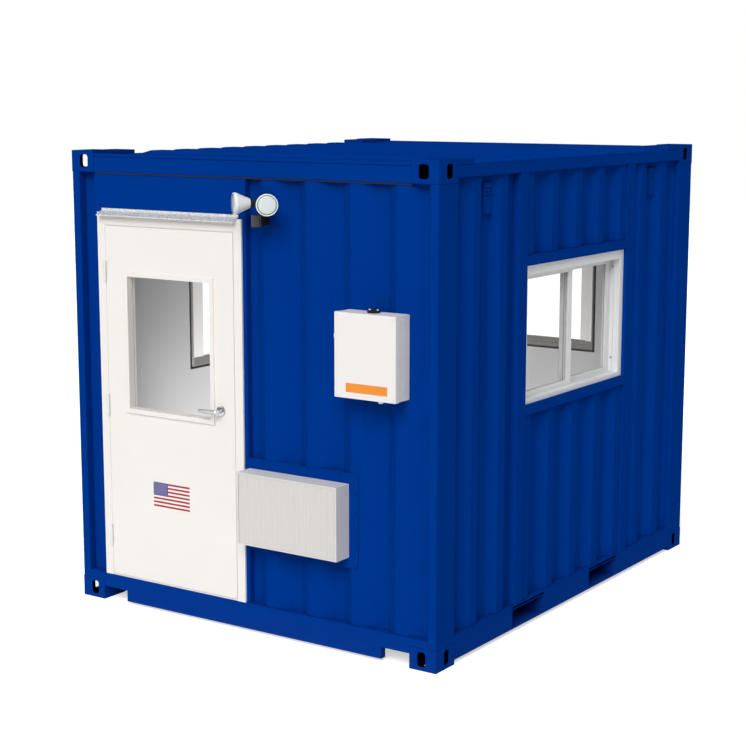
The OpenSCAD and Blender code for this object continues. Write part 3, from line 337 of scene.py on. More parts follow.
def lampFinish(joint, reach=0.0365, tone=(0.012, 0.012, 0.013, 1)):  # white head, black behind the cone
    pivot, beam = lampBeam(joint)
    mat = copyFinish("lampWhite", joint + "Skin")
    tree = mat.node_tree
    ahead = put(tree, "ShaderNodeVectorMath", {1: beam}, operation="DOT_PRODUCT")
    join(tree, (put(tree, "ShaderNodeTexCoord").outputs["Object"], ahead.inputs[0]))
    layTone(mat, math2(tree, "LESS_THAN", ahead.outputs["Value"], pivot.dot(beam) + reach), tone)
    return mat

slotFinish = {
    "blue_paint": "boothBlue", "floor_ply": "floorPly", "wall_lining": "liningBoard", "window_vinyl": "windowVinyl",
    "window_pane": "clearPane", "door_paint": "doorWhite", "galvanised_steel": "zincSheet",
    "threshold_aluminium": "sillAluminium", "hinge_steel": "hingeSteel", "polished_chrome": "leverChrome",
    "cooler_plastic": "coolerCase", "enclosure_paint": "boxWhite", "black_plastic": "blackPlastic",
    "lamp_white": "lampWhite",
}
for part in frame["record"]["subparts"]:
    mesh = nodes[part["node"]].data
    mesh.materials.clear()
    mesh.materials.append(finish[slotFinish[part["material_slot"]]])
# castings get painted shade in their hollows
for node in ("bottom_corner_castings", "top_corner_castings"):
    nodes[node].data.materials[0] = castingHollowShade(node)
nodes["ceiling_liner"].data.materials[0] = finish["ceilingBoard"]
# frames and sashes carry painted shade on their room side, low down
for node in ("window_frames", "window_sashes"):
    nodes[node].data.materials[0] = vinylSillShadeFinish()
for node, joint in (("left_lamp_head", "left_lamp_tilt"), ("right_lamp_head", "right_lamp_tilt")):
    nodes[node].data.materials[0] = lampFinish(joint)

# shapes for the pieces that the scene adds
def newShape():
    return dict(verts=[], faces=[], picks=[])

def addFace(shape, ring, first=0, pick=0):  # face on vertex numbers that count from the first one
    shape["faces"].append([first + i for i in ring])
    shape["picks"].append(pick)

def addBox(shape, low, high, pick=0):  # block between two corners
    first = len(shape["verts"])
    shape["verts"] += [(x, y, z) for x in (low[0], high[0]) for y in (low[1], high[1]) for z in (low[2], high[2])]
    for ring in ((0, 1, 3, 2), (4, 6, 7, 5), (0, 4, 5, 1), (2, 3, 7, 6), (0, 2, 6, 4), (1, 5, 7, 3)):
        addFace(shape, ring, first, pick)

def addRing(shape, steps, spot):  # vertices at even turns; spot gives the place for a cosine and a sine
    first = len(shape["verts"])
    turns = [2*math.pi*k/steps for k in range(steps)]
    shape["verts"] += [spot(math.cos(turn), math.sin(turn)) for turn in turns]
    return list(range(first, first + steps))

def addLathe(shape, profile, place, steps, picks=None):  # (radius, height) points turned about local z
    rings = [addRing(shape, steps if radius else 1, lambda c, s: place @ Vector((radius*c, radius*s, height)))
             for radius, height in profile]
    for j in range(len(rings) - 1):
        a, b = rings[j], rings[j + 1]
        for k in range(steps):
            face = [a[k % len(a)], a[(k + 1) % len(a)], b[(k + 1) % len(b)], b[k % len(b)]]
            addFace(shape, dict.fromkeys(face), 0, picks[j] if picks else 0)

def addSweep(shape, spine, across, up, steps=20):  # ellipse carried along a spine; across gives half sizes
    rings = []
    for i, point in enumerate(spine):
        ahead = (spine[min(i + 1, len(spine) - 1)] - spine[max(i - 1, 0)]).normalized()
        side = ahead.cross(up).normalized()
        over = side.cross(ahead)
        wide, tall = across[i]
        rings.append(addRing(shape, steps, lambda c, s: point + side*(wide*c) + over*(tall*s)))
    for a, b in zip(rings, rings[1:]):
        for k in range(steps):
            addFace(shape, (a[k], a[(k + 1) % steps], b[(k + 1) % steps], b[k]))
    for ring in (rings[0][::-1], rings[-1]):
        addFace(shape, ring)

def addPiece(name, shape, mats, body, smooth=False, rounding=0.0):  # mesh object that rides on a body
    mesh = bpy.data.meshes.new(name)
    mesh.from_pydata([tuple(v) for v in shape["verts"]], [], shape["faces"])
    for mat in mats:
        mesh.materials.append(finish[mat])
    mesh.polygons.foreach_set("material_index", shape["picks"])
    bm = bmesh.new()
    bm.from_mesh(mesh)
    if rounding:
        sharp = [e for e in bm.edges if len(e.link_faces) == 2 and e.calc_face_angle() > 0.6]
        bmesh.ops.bevel(bm, geom=sharp, offset=rounding, segments=2, affect="EDGES", clamp_overlap=True)
    bmesh.ops.recalc_face_normals(bm, faces=bm.faces)
    bm.to_mesh(mesh)
    bm.free()
    if smooth:
        mesh.shade_smooth()
    return placePiece(bpy.data.objects.new(name, mesh), body)

def placePiece(obj, body):
    if obj.name not in scene.collection.objects:
        scene.collection.objects.link(obj)
    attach(obj, body)
    return obj

# trees for what repeats
def newGeoTree(name, inputs):
    mesh = ("Geometry", "Geometry")
    return newGroup(name, [mesh + (None,)] + inputs, [mesh], "GeometryNodeTree")

def closeTree(tree, geometry, given, out):  # instances become one mesh with its finish
    real = put(tree, "GeometryNodeRealizeInstances")
    paint = put(tree, "GeometryNodeSetMaterial")
    join(tree, (geometry, real.inputs[0]), (real.outputs[0], paint.inputs["Geometry"]),
         (given["Finish"], paint.inputs["Material"]), (paint.outputs[0], out["Geometry"]))

def makeScrewTree():  # washer heads at random turns on loose points
    tree, given, out = newGeoTree("screwHeads", [
        ("Radius", "Float", 0.005), ("Height", "Float", 0.003), ("Sides", "Int", 6), ("Turn", "Vector", (0, 0, 0)),
        ("Seed", "Int", 4), ("Finish", "Material", None)])
    head = put(tree, "GeometryNodeMeshCylinder")
    washer = put(tree, "GeometryNodeMeshCylinder", {"Vertices": 24})
    both = put(tree, "GeometryNodeJoinGeometry")
    spin = put(tree, "FunctionNodeRandomValue", {0: (0, 0, 0), 1: (0, 0, 2*math.pi)}, data_type="FLOAT_VECTOR")
    facing, turned = put(tree, "FunctionNodeEulerToRotation"), put(tree, "FunctionNodeEulerToRotation")
    whole = put(tree, "FunctionNodeRotateRotation", rotation_space="LOCAL")
    copies = put(tree, "GeometryNodeInstanceOnPoints")
    join(tree, (given["Sides"], head.inputs["Vertices"]), (given["Radius"], head.inputs["Radius"]),
         (math2(tree, "MULTIPLY", given["Height"], 2.0), head.inputs["Depth"]),
         (math2(tree, "MULTIPLY", given["Radius"], 1.5), washer.inputs["Radius"]),
         (math2(tree, "MULTIPLY", given["Height"], 0.6), washer.inputs["Depth"]),
         (head.outputs["Mesh"], both.inputs[0]), (washer.outputs["Mesh"], both.inputs[0]),
         (given["Seed"], spin.inputs["Seed"]), (given["Turn"], facing.inputs[0]), (spin.outputs[0], turned.inputs[0]),
         (facing.outputs[0], whole.inputs[0]), (turned.outputs[0], whole.inputs[1]),
         (given["Geometry"], copies.inputs["Points"]), (both.outputs[0], copies.inputs["Instance"]),
         (whole.outputs[0], copies.inputs["Rotation"]))
    closeTree(tree, copies.outputs[0], given, out)
    return tree

def makeStarTree():  # flat five-pointed stars on loose points
    tree, given, out = newGeoTree("stars", [
        ("Radius", "Float", 0.004), ("Waist", "Float", 0.382), ("Turn", "Vector", (0, 0, 0)),
        ("Finish", "Material", None)])
    star = put(tree, "GeometryNodeCurveStar", {"Points": 5, "Twist": 0.0})
    fill = put(tree, "GeometryNodeFillCurve")
    facing = put(tree, "FunctionNodeEulerToRotation")
    copies = put(tree, "GeometryNodeInstanceOnPoints")
    inner = math2(tree, "MULTIPLY", given["Radius"], given["Waist"])
    join(tree, (given["Radius"], star.inputs["Outer Radius"]), (inner, star.inputs["Inner Radius"]),
         (star.outputs["Curve"], fill.inputs[0]), (given["Turn"], facing.inputs[0]),
         (given["Geometry"], copies.inputs["Points"]), (fill.outputs[0], copies.inputs["Instance"]),
         (facing.outputs[0], copies.inputs["Rotation"]))
    closeTree(tree, copies.outputs[0], given, out)
    return tree

def makeWeldTree():  # overlapping scales along edges
    tree, given, out = newGeoTree("weldBeads", [
        ("Radius", "Float", 0.003), ("Pitch", "Float", 0.006), ("Seed", "Int", 7), ("Finish", "Material", None)])
    line = put(tree, "GeometryNodeMeshToCurve")
    even = put(tree, "GeometryNodeResampleCurve", mode="LENGTH")
    ball = put(tree, "GeometryNodeMeshUVSphere", {"Segments": 8, "Rings": 5})
    size = put(tree, "FunctionNodeRandomValue", {0: (0.85, 0.85, 0.85), 1: (1.2, 1.2, 1.2)}, data_type="FLOAT_VECTOR")
    copies = put(tree, "GeometryNodeInstanceOnPoints")
    smooth = put(tree, "GeometryNodeSetShadeSmooth")
    join(tree, (given["Geometry"], line.inputs["Mesh"]), (line.outputs[0], even.inputs["Curve"]),
         (given["Pitch"], even.inputs["Length"]), (given["Radius"], ball.inputs["Radius"]),
         (ball.outputs["Mesh"], smooth.inputs["Geometry"]), (given["Seed"], size.inputs["Seed"]),
         (even.outputs[0], copies.inputs["Points"]), (smooth.outputs[0], copies.inputs["Instance"]),
         (size.outputs[0], copies.inputs["Scale"]))
    closeTree(tree, copies.outputs[0], given, out)
    return tree

screwTree, starTree, weldTree = makeScrewTree(), makeStarTree(), makeWeldTree()

# keeps the mesh that a tree makes on loose points or edges
def growPiece(name, tree, points, edges, body, slotName, **values):
    seedMesh = bpy.data.meshes.new(name + "Seed")
    seedMesh.from_pydata([tuple(p) for p in points], edges, [])
    seed = bpy.data.objects.new(name + "Seed", seedMesh)
    scene.collection.objects.link(seed)
    grow = seed.modifiers.new("grow", "NODES")
    grow.node_group = tree
    for item in tree.interface.items_tree:
        if item.in_out == "INPUT" and item.name in values:
            grow[item.identifier] = values[item.name]
    graph = bpy.context.evaluated_depsgraph_get()
    made = bpy.data.meshes.new_from_object(seed.evaluated_get(graph), depsgraph=graph)
    made.name = name
    bpy.data.objects.remove(seed)
    return placePiece(bpy.data.objects.new(name, made), body)

def turnTo(normal):  # Euler angles that bring local z to a direction
    return tuple(Vector(normal).to_track_quat("Z", "Y").to_euler())

def addScrews(name, spots, look, facing, slotName, mat):  # heads of one kind on the shell
    growPiece(name, screwTree, spots, [], "booth", slotName, Radius=look["radius"], Height=look["height"],
              Sides=look["sides"], Turn=turnTo(facing), Finish=finish[mat])

def along(low, high, pitch):  # even places between two ends
    count = max(2, round((high - low)/pitch) + 1)
    return [low + (high - low)*k/(count - 1) for k in range(count)]

def sideBox(node, deep=0.16, half=1.0):  # box of a node's solids in the middle of the window side alone
    near = [v.co for v in nodes[node].data.vertices if v.co.y < castLow.y + deep and abs(v.co.x) < half]
    return (Vector([min(c[k] for c in near) for k in range(3)]),
            Vector([max(c[k] for c in near) for k in range(3)]))

print("shape helpers and trees ready")

# striped decal on the door leaf
flag = dict(width=0.264, height=0.139, fromHinge=0.317, fromFoot=0.442, film=0.0004, stripes=13,
            cantonShare=0.4, cantonStripes=7, starRows=9, starColumns=11, starShare=0.0308)

def makeFlag():
    leafLow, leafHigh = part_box("door_leaf")
    face = leafLow.x - flag["film"]
    left, foot = leafHigh.y - flag["fromHinge"], leafLow.z + flag["fromFoot"]
    top, step = foot + flag["height"], flag["height"]/flag["stripes"]
    shape = newShape()
    for row in range(flag["stripes"]):
        addBox(shape, (face, left - flag["width"], foot + row*step), (leafLow.x, left, foot + (row + 1)*step), row % 2)
    cantonW, cantonH = flag["width"]*flag["cantonShare"], step*flag["cantonStripes"]
    addBox(shape, (face - flag["film"], left - cantonW, top - cantonH), (leafLow.x, left, top), 2)
    addPiece("doorFlag", shape, ("decalRed", "decalWhite", "decalBlue"), "door")
    rows, columns = flag["starRows"], flag["starColumns"]
    stars = [(face - 2*flag["film"], left - cantonW*(column + 1)/(columns + 1), top - cantonH*(row + 1)/(rows + 1))
             for row in range(rows) for column in range(columns) if (row + column) % 2 == 0]
    growPiece("doorFlagStars", starTree, stars, [], "door", "door_paint", Radius=flag["height"]*flag["starShare"],
              Turn=turnTo(outEnd), Finish=finish["decalWhite"])

# load centre: blank strip, hinge tab and latch on the cover, lid screws, blanks in the side, screws of the hub
cover = dict(stripLeft=0.069, stripFoot=0.031, stripWidth=0.252, stripHeight=0.047, film=0.0005, rounding=0.0002,
             tabRise=0.31, tabLong=0.022, tabDeep=0.016, tabOut=0.009, bite=0.001,
             latchAt=0.272, latchWide=0.02, latchDrop=0.01)
lidScrews = dict(radius=0.0032, height=0.0016, sides=20, inset=0.014)
blanks = dict(radius=0.0085, height=0.0007, sides=24, shares=(0.13, 0.9))
hubScrews = dict(radius=0.0045, height=0.004, sides=6, out=0.024)

def makeEnclosure():
    low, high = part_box("load_centre_cover")
    c, left = cover, high.y
    front, back = (low.x + high.x)/2 - c["tabDeep"]/2, (low.x + high.x)/2 + c["tabDeep"]/2
    tabZ, latchY = low.z + c["tabRise"], left - c["latchAt"]
    stripY, stripZ = left - c["stripLeft"], low.z + c["stripFoot"]
    fittings = newShape()
    addBox(fittings, (front, left - c["bite"], tabZ - c["tabLong"]/2),
           (back, left + c["tabOut"], tabZ + c["tabLong"]/2))
    addBox(fittings, (front, latchY - c["latchWide"]/2, low.z - c["latchDrop"]),
           (back, latchY + c["latchWide"]/2, low.z + c["bite"]))
    addBox(fittings, (low.x - c["film"], stripY - c["stripWidth"], stripZ),
           (low.x, stripY, stripZ + c["stripHeight"]), 1)
    addPiece("coverFittings", fittings, ("boxWhite", "decalOrange"), "booth",
             rounding=c["rounding"])
    inset = lidScrews["inset"]
    corners = [(low.x, y, z) for y in (low.y + inset, high.y - inset) for z in (low.z + inset, high.z - inset)]
    addScrews("coverScrews", corners, lidScrews, outEnd, "enclosure_paint", "boxWhite")
    boxLow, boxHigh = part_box("load_centre_box")
    rises = [boxLow.z + (boxHigh.z - boxLow.z)*share for share in blanks["shares"]]
    places = [((boxLow.x + boxHigh.x)/2, boxLow.y, z) for z in rises]
    addScrews("boxBlanks", places, blanks, outNear, "enclosure_paint", "boxWhite")
    hubLow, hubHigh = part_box("conduit_hub")
    hubMid = (hubLow + hubHigh)/2
    lugs = [(hubMid.x, hubMid.y + s*hubScrews["out"], hubHigh.z) for s in (-1, 1)]
    addScrews("hubScrews", lugs, hubScrews, outUp, "enclosure_paint", "boxWhite")

# rivets and screws that hold trim to the shell
rivets = dict(radius=0.0042, height=0.0018, sides=16, pitch=0.105, inset=0.012)
treadScrews = dict(radius=0.0045, height=0.0012, sides=20, pitch=0.24, inset=0.06)
capScrews = dict(radius=0.0035, height=0.002, sides=6, pitch=0.15, inset=0.04, behind=0.003, under=0.005)
ventRivets = dict(radius=0.0028, height=0.0014, sides=16, wide=0.064, insetX=0.007, insetZ=0.008)

def makeRivets():
    low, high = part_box("air_conditioner_surround")
    inset, pitch = rivets["inset"], rivets["pitch"]
    y0, y1, z0, z1 = low.y + inset, high.y - inset, low.z + inset, high.z - inset
    ring = [(low.x, y, z) for z in (z0, z1) for y in along(y0, y1, pitch)]
    ring += [(low.x, y, z) for y in (y0, y1) for z in along(z0, z1, pitch)[1:-1]]
    addScrews("coolerRivets", ring, rivets, outEnd, "blue_paint", "boothBlue")
    low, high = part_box("door_threshold")
    inset, middle = treadScrews["inset"], (low.x + high.x)/2
    treads = [(middle, y, high.z) for y in along(low.y + inset, high.y - inset, treadScrews["pitch"])]
    addScrews("thresholdScrews", treads, treadScrews, outUp, "threshold_aluminium", "hingeSteel")
    low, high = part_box("drip_cap")
    inset, x, z = capScrews["inset"], high.x - capScrews["behind"], high.z - capScrews["under"]
    upstand = [(x, y, z) for y in along(low.y + inset, high.y - inset, capScrews["pitch"])]
    addScrews("capScrews", upstand, capScrews, outEnd, "galvanised_steel", "zincSheet")
    low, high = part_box("wall_vents")
    columns = (high.x - ventRivets["insetX"], high.x - ventRivets["wide"] + ventRivets["insetX"])
    rises = (low.z + ventRivets["insetZ"], high.z - ventRivets["insetZ"])
    for name, y, facing in (("nearVentRivets", low.y, outNear), ("farVentRivets", high.y, outFar)):
        spots = [(s*x, y, z) for s in (-1, 1) for x in columns for z in rises]
        addScrews(name, spots, ventRivets, facing, "blue_paint", "boothBlue")

# seams: weld scales round the castings, and under the end rails a dark strip, partly sealant and partly painted shadow
# of the rails
seams = dict(bead=0.0026, pitch=0.0065, sunk=0.0015, corner=0.004)
sealantAndShadow = dict(tall=0.009, proud=0.0008, deep=0.006, rounding=0.001)

def makeSeams():
    topFoot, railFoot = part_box("top_corner_castings")[0].z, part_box("side_bottom_rails")[0].z
    points, edges = [], []
    def stitch(a, b):
        edges.append((len(points), len(points) + 1))
        points.extend((a, b))
    faceX, faceY = castHigh.x - seams["sunk"], castHigh.y - seams["sunk"]
    endX, endY = castHigh.x - seams["corner"], castHigh.y - seams["corner"]
    for sx in (-1, 1):
        for sy in (-1, 1):
            for z in (castHigh.z, topFoot):  # post to casting, on both outer faces
                stitch((sx*faceX, sy*endY, z), (sx*faceX, sy*castInY, z))
                stitch((sx*endX, sy*faceY, z), (sx*castInX, sy*faceY, z))
            stitch((sx*castInX, sy*faceY, railFoot), (sx*castInX, sy*faceY, castHigh.z))  # side rail to casting
    growPiece("castingWelds", weldTree, points, edges, "booth", "blue_paint", Radius=seams["bead"],
              Pitch=seams["pitch"], Finish=finish["boothBlue"])
    # under each end rail a near-black strip: sealant in part, painted shadow of the rail in part
    low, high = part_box("end_top_rails")
    outer = sealantAndShadow["proud"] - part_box("door_end_wall")[0].x
    shape = newShape()
    for s in (-1, 1):
        x0, x1 = sorted((s*outer, s*(outer - sealantAndShadow["deep"])))
        addBox(shape, (x0, low.y, low.z - sealantAndShadow["tall"]), (x1, high.y, low.z))
    addPiece("railSealantAndShadow", shape, ("sealantAndShadow",), "booth", rounding=sealantAndShadow["rounding"])

# pale seal on the door frame, in the gap round the leaf, and a sweep under the leaf
strip = dict(gap=0.005, latchThick=0.0028, thick=0.0042, setBack=0.0015, deep=0.02, foot=0.004)
sweep = dict(drop=0.0038, thick=0.006, lipIn=0.001, lip=0.002, bite=0.0005, rounding=0.0004)

def makeDoorSeal():
    low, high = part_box("door_leaf")
    x0, x1 = low.x + strip["setBack"], low.x + strip["setBack"] + strip["deep"]
    latchY, hingeY = low.y - strip["gap"], high.y + strip["gap"]
    foot, headZ = low.z + strip["foot"], high.z + strip["gap"]
    under = headZ - strip["thick"]
    shape = newShape()
    addBox(shape, (x0, latchY, foot), (x1, latchY + strip["latchThick"], under))
    addBox(shape, (x0, hingeY - strip["thick"], foot), (x1, hingeY, under))
    addBox(shape, (x0, latchY, under), (x1, hingeY, headZ))
    addPiece("doorSeal", shape, ("weatherStrip",), "booth")
    holder, lip = low.z - sweep["drop"]/2, low.x + sweep["lipIn"]
    shape = newShape()
    addBox(shape, (low.x, low.y, holder), (low.x + sweep["thick"], high.y, low.z + sweep["bite"]))
    addBox(shape, (lip, low.y, low.z - sweep["drop"]), (lip + sweep["lip"], high.y, holder + sweep["bite"]))
    addPiece("doorSweep", shape, ("doorWhite",), "door", rounding=sweep["rounding"])

# handle drawn to a flat oval, curved back towards the leaf at its tip
handle = dict(standOff=0.0545, reach=0.128, neck=0.0095, neckFoot=0.013, sunk=0.003, collar=0.003, flare=0.009,
              crown=0.001, overlap=0.010, thick=(0.0078, 0.0054), tall=(0.0125, 0.009), droop=0.004, back=0.011,
              steps=24, tipFrom=0.93, heelTo=0.06, blunt=0.1)

def roundOff(past):  # share of the full size near an end; past runs from 0 to 1 at the end itself
    return math.sqrt(max(0.0, 1 - max(0.0, past)**2))*(1 - handle["blunt"]) + handle["blunt"]

def makeHandle():
    h = handle
    leafLow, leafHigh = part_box("door_leaf")
    roseLow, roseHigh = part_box("lever_roses")
    hub = Vector(joints["lever_turn"]["pos_m"])
    shape = newShape()
    for out, base, rose in ((-1, leafLow.x, roseLow.x), (1, leafHigh.x, roseHigh.x)):
        place = Matrix.Translation((base, hub.y, hub.z)) @ Matrix.Rotation(out*math.pi/2, 4, "Y")
        foot = abs(rose - base)
        neck = [(0, foot - h["sunk"]), (h["neckFoot"], foot - h["sunk"]), (h["neckFoot"], foot + h["collar"]),
                (h["neck"], foot + h["flare"]), (h["neck"], h["standOff"]), (0, h["standOff"] + h["crown"])]
        addLathe(shape, neck, place, 28)
        spine, across = [], []
        for k in range(h["steps"] + 1):
            t = k/h["steps"]
            spine.append(Vector((base + out*(h["standOff"] - h["back"]*t**3),
                                 hub.y - h["overlap"] + (h["reach"] + h["overlap"])*t,
                                 hub.z - h["droop"]*math.sin(math.pi*t/2))))
            size = min(roundOff((t - h["tipFrom"])/(1 - h["tipFrom"])), roundOff((h["heelTo"] - t)/h["heelTo"]))
            across.append(tuple(size*(a + (b - a)*t) for a, b in (h["thick"], h["tall"])))
        addSweep(shape, spine, across, Vector(outUp))
    lever = addPiece("leverHandle", shape, ("leverChrome",), "lever", smooth=True)
    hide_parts("door_lever")

# lamp heads: bezel, dark groove and domed lens, and a ribbed black socket
lampFace = dict(length=0.120, rim=0.057, sunk=0.002, proud=0.004, chamfer=0.002, lip=0.003, groove=0.002,
                grooveFloor=0.0005, lens=0.0475, lensFoot=0.001, dome=0.006, domeSteps=10)
socket = dict(radius=0.0247, start=0.019, end=0.0365, foot=0.002, ribs=4, lead=0.0004, groove=0.0006,
              ribShare=0.7, fallShare=0.78, grooveShare=0.95)

def makeLamps():
    f, s = lampFace, socket
    rear, front, floor = f["length"] - f["sunk"], f["length"] + f["proud"], f["length"] + f["grooveFloor"]
    face = [(0, rear), (f["rim"], rear), (f["rim"], front - f["chamfer"]), (f["rim"] - f["chamfer"], front),
            (f["lens"] + f["lip"], front), (f["lens"] + f["groove"], floor), (f["lens"], floor)]
    for k in range(f["domeSteps"]):
        turn = math.pi/2*k/f["domeSteps"]
        face.append((f["lens"]*math.cos(turn), f["length"] + f["lensFoot"] + f["dome"]*math.sin(turn)))
    face.append((0, f["length"] + f["lensFoot"] + f["dome"]))
    picks = [0]*4 + [1]*3 + [2]*f["domeSteps"]  # bezel, groove, lens
    pitch = (s["end"] - s["start"])/s["ribs"]
    inner = s["radius"] - s["groove"]
    ribbed = [(0, s["start"]), (s["radius"] - s["foot"], s["start"])]
    for k in range(s["ribs"]):
        rib = s["start"] + k*pitch
        ribbed += [(s["radius"], rib + s["lead"]), (s["radius"], rib + pitch*s["ribShare"]),
                   (inner, rib + pitch*s["fallShare"]), (inner, rib + pitch*s["grooveShare"])]
    ribbed.append((0, s["end"]))
    for body in ("left_lamp", "right_lamp"):
        pivot, beam = lampBeam(body + "_tilt")
        place = Matrix.Translation(pivot) @ beam.to_track_quat("Z", "Y").to_matrix().to_4x4()
        shape = newShape()
        addLathe(shape, face, place, 48, picks)
        addPiece(body + "Face", shape, ("lampWhite", "blackPlastic", "lensGlass"), body, smooth=True)
        shape = newShape()
        addLathe(shape, ribbed, place, 40)
        addPiece(body + "Socket", shape, ("blackPlastic",), body)

# ribbed lens sleeve of the motion sensor
sensorLens = dict(radius=0.0285, rise=0.058, flutes=18, deep=0.0007, sunk=0.0005)

def makeSensor():
    low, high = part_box("motion_sensor")
    radius, flutes = sensorLens["radius"], sensorLens["flutes"]
    centre = Vector((low.x + radius - sensorLens["sunk"], (low.y + high.y)/2, (low.z + high.z)/2))
    shape = newShape()
    steps = flutes*4
    for share in (-0.5, 0.5):
        for k in range(steps):
            turn = 2*math.pi*k/steps
            reach = radius + sensorLens["deep"]*math.cos(flutes*turn)
            spot = Vector((reach*math.cos(turn), reach*math.sin(turn), share*sensorLens["rise"]))
            shape["verts"].append(centre + spot)
    for k in range(steps):
        after = (k + 1) % steps
        addFace(shape, (k, after, steps + after, steps + k))
    addFace(shape, range(steps)[::-1])
    addFace(shape, range(steps), steps)
    addPiece("sensorLens", shape, ("sensorSkin",), "booth")

# window fittings, drawn once for the near window and carried to the other two
windowSpots = dict(near=lambda u, d, z: (u, d, z), far=lambda u, d, z: (u, -d, z),
                   back=lambda u, d, z: (castHigh.x - castHigh.y - d, u, z))  # along the wall, outwards, up
plugs = dict(radius=0.005, height=0.002, sides=20, rise=(0.11, 0.651), across=0.4)
tracks = dict(thick=0.0026, tall=0.008, bite=0.0003, lead=0.001)
foamAndShade = dict(inset=0.002)

def addSpotBox(shape, spot, low, high):  # block given in a window's own coordinates
    a, b = spot(*low), spot(*high)
    addBox(shape, [min(pair) for pair in zip(a, b)], [max(pair) for pair in zip(a, b)])

def makeWindowFittings():
    rimLow, rimHigh = sideBox("window_frames")
    sashLow, sashHigh = sideBox("window_sashes")
    holeLow, holeHigh = sideBox("side_wall_liners")
    middle = (sashLow.y + sashHigh.y)/2
    plugDepth = sashLow.y + (middle - sashLow.y)*plugs["across"]
    tall, bite = tracks["tall"], tracks["bite"]
    for name, spot in windowSpots.items():
        facing = Vector(spot(-1, 0, 0)) - Vector(spot(0, 0, 0))
        covers = [spot(sashHigh.x, plugDepth, rimLow.z + rise) for rise in plugs["rise"]]
        addScrews(name + "WindowPlugs", covers, plugs, facing, "window_vinyl", "plugGrey")
        fins = newShape()  # fins that guide the sashes
        for d in (sashLow.y - tracks["thick"] - tracks["lead"], middle - tracks["thick"]/2):
            deep = d + tracks["thick"]
            addSpotBox(fins, spot, (sashLow.x, d, sashLow.z - bite), (sashHigh.x, deep, sashLow.z + tall))
            addSpotBox(fins, spot, (sashLow.x, d, sashHigh.z - tall), (sashHigh.x, deep, sashHigh.z + bite))
            for s in (-1, 1):
                addSpotBox(fins, spot, (s*(sashHigh.x + bite), d, sashLow.z + tall),
                           (s*(sashHigh.x - tall), deep, sashHigh.z - tall))
        addPiece(name + "WindowTracks", fins, ("windowVinyl",), "booth")
        gap = newShape()  # dark filler between the frame and the lining: partly foam, partly painted shade in the gap
        d0, d1 = holeLow.y + foamAndShade["inset"], holeHigh.y - foamAndShade["inset"]
        addSpotBox(gap, spot, (holeLow.x, d0, holeLow.z), (holeHigh.x, d1, rimLow.z))
        addSpotBox(gap, spot, (holeLow.x, d0, rimHigh.z), (holeHigh.x, d1, holeHigh.z))
        for s in (-1, 1):
            addSpotBox(gap, spot, (s*rimHigh.x, d0, rimLow.z), (s*holeHigh.x, d1, rimHigh.z))
        addPiece(name + "WindowFoamAndShade", gap, ("foamAndShadeBlack",), "booth", rounding=foamAndShade["inset"]/2)

# pleated screen between the fins of the air conditioner
screen = dict(behind=0.0016, thick=0.0012, inset=0.002, pleat=0.004, fold=0.0005)

def makeScreen():
    low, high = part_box("air_conditioner_grille")
    front, back = low.x + screen["behind"], low.x + screen["behind"] + screen["thick"]
    z0, z1 = low.z + screen["inset"], high.z - screen["inset"]
    folds = along(low.y + screen["inset"], high.y - screen["inset"], screen["pleat"]/2)
    shape = newShape()
    for k, y in enumerate(folds):
        crease = front + screen["fold"]*(k % 2)
        shape["verts"] += [(crease, y, z0), (crease, y, z1), (back, y, z0), (back, y, z1)]
    last = len(folds) - 1
    for k in range(last):
        for ring in ((0, 1, 5, 4), (2, 6, 7, 3), (0, 4, 6, 2), (1, 3, 7, 5)):
            addFace(shape, ring, 4*k)
    addFace(shape, (0, 2, 3, 1))
    addFace(shape, (0, 1, 3, 2), 4*last)
    addPiece("coolerScreen", shape, ("coolerCase",), "booth")

# ramps that end the roof ribs, and the sheet's rise towards both ends of the roof
roof = dict(rib=0.017, flank=0.018, ramp=0.07, margin=0.24, edge=0.003, side=0.001,
            inset=0.06, middle=0.5, near=0.0004)  # the last three pick vertices of the panel

def makeRoofEdges():
    skin = [v.co for v in nodes["roof_panel"].data.vertices if abs(v.co.y) < castHigh.y - roof["inset"]]
    crest = max(round(c.z, 4) for c in skin if abs(c.x) < roof["middle"])
    sheet = crest - roof["rib"]
    ridges = [c for c in skin if abs(c.z - crest) < roof["near"]]
    ends = sorted({round(c.x, 4) for c in ridges})
    reach = max(abs(c.y) for c in ridges)
    foot, flank = reach + roof["ramp"], roof["flank"]
    ramps = newShape()
    for x0, x1 in zip(ends[::2], ends[1::2]):
        for s in (-1, 1):
            first = len(ramps["verts"])
            ramps["verts"] += [(x0, s*reach, crest), (x1, s*reach, crest), (x0 - flank, s*reach, sheet),
                               (x1 + flank, s*reach, sheet), (x0, s*foot, sheet), (x1, s*foot, sheet)]
            for ring in ((0, 1, 5, 4), (0, 4, 2), (1, 3, 5), (0, 2, 3, 1), (2, 4, 5, 3)):
                addFace(ramps, ring, first)
    addPiece("roofRibEnds", ramps, ("boothBlue",), "booth")
    margins = newShape()
    wide = castInY - roof["side"]
    for s in (-1, 1):
        first = len(margins["verts"])
        edge, inner = s*(castHigh.x - roof["edge"]), s*(castHigh.x - roof["margin"])
        slope = ((edge, sheet), (edge, crest), (inner, sheet))
        margins["verts"] += [(x, y, z) for y in (-wide, wide) for x, z in slope]
        for ring in ((0, 1, 2), (3, 5, 4), (0, 3, 4, 1), (1, 4, 5, 2), (2, 5, 3, 0)):
            addFace(margins, ring, first)
    addPiece("roofMargins", margins, ("boothBlue",), "booth")

for makePieces in (makeFlag, makeEnclosure, makeRivets, makeSeams, makeDoorSeal, makeHandle, makeLamps, makeSensor,
                   makeWindowFittings, makeScreen, makeRoofEdges):
    makePieces()
    print("pieces from", makePieces.__name__)

# stage, light and camera
stage = dict(size=60.0, drop=0.0008, color=(0.86, 0.86, 0.86, 1), lift=0.55)

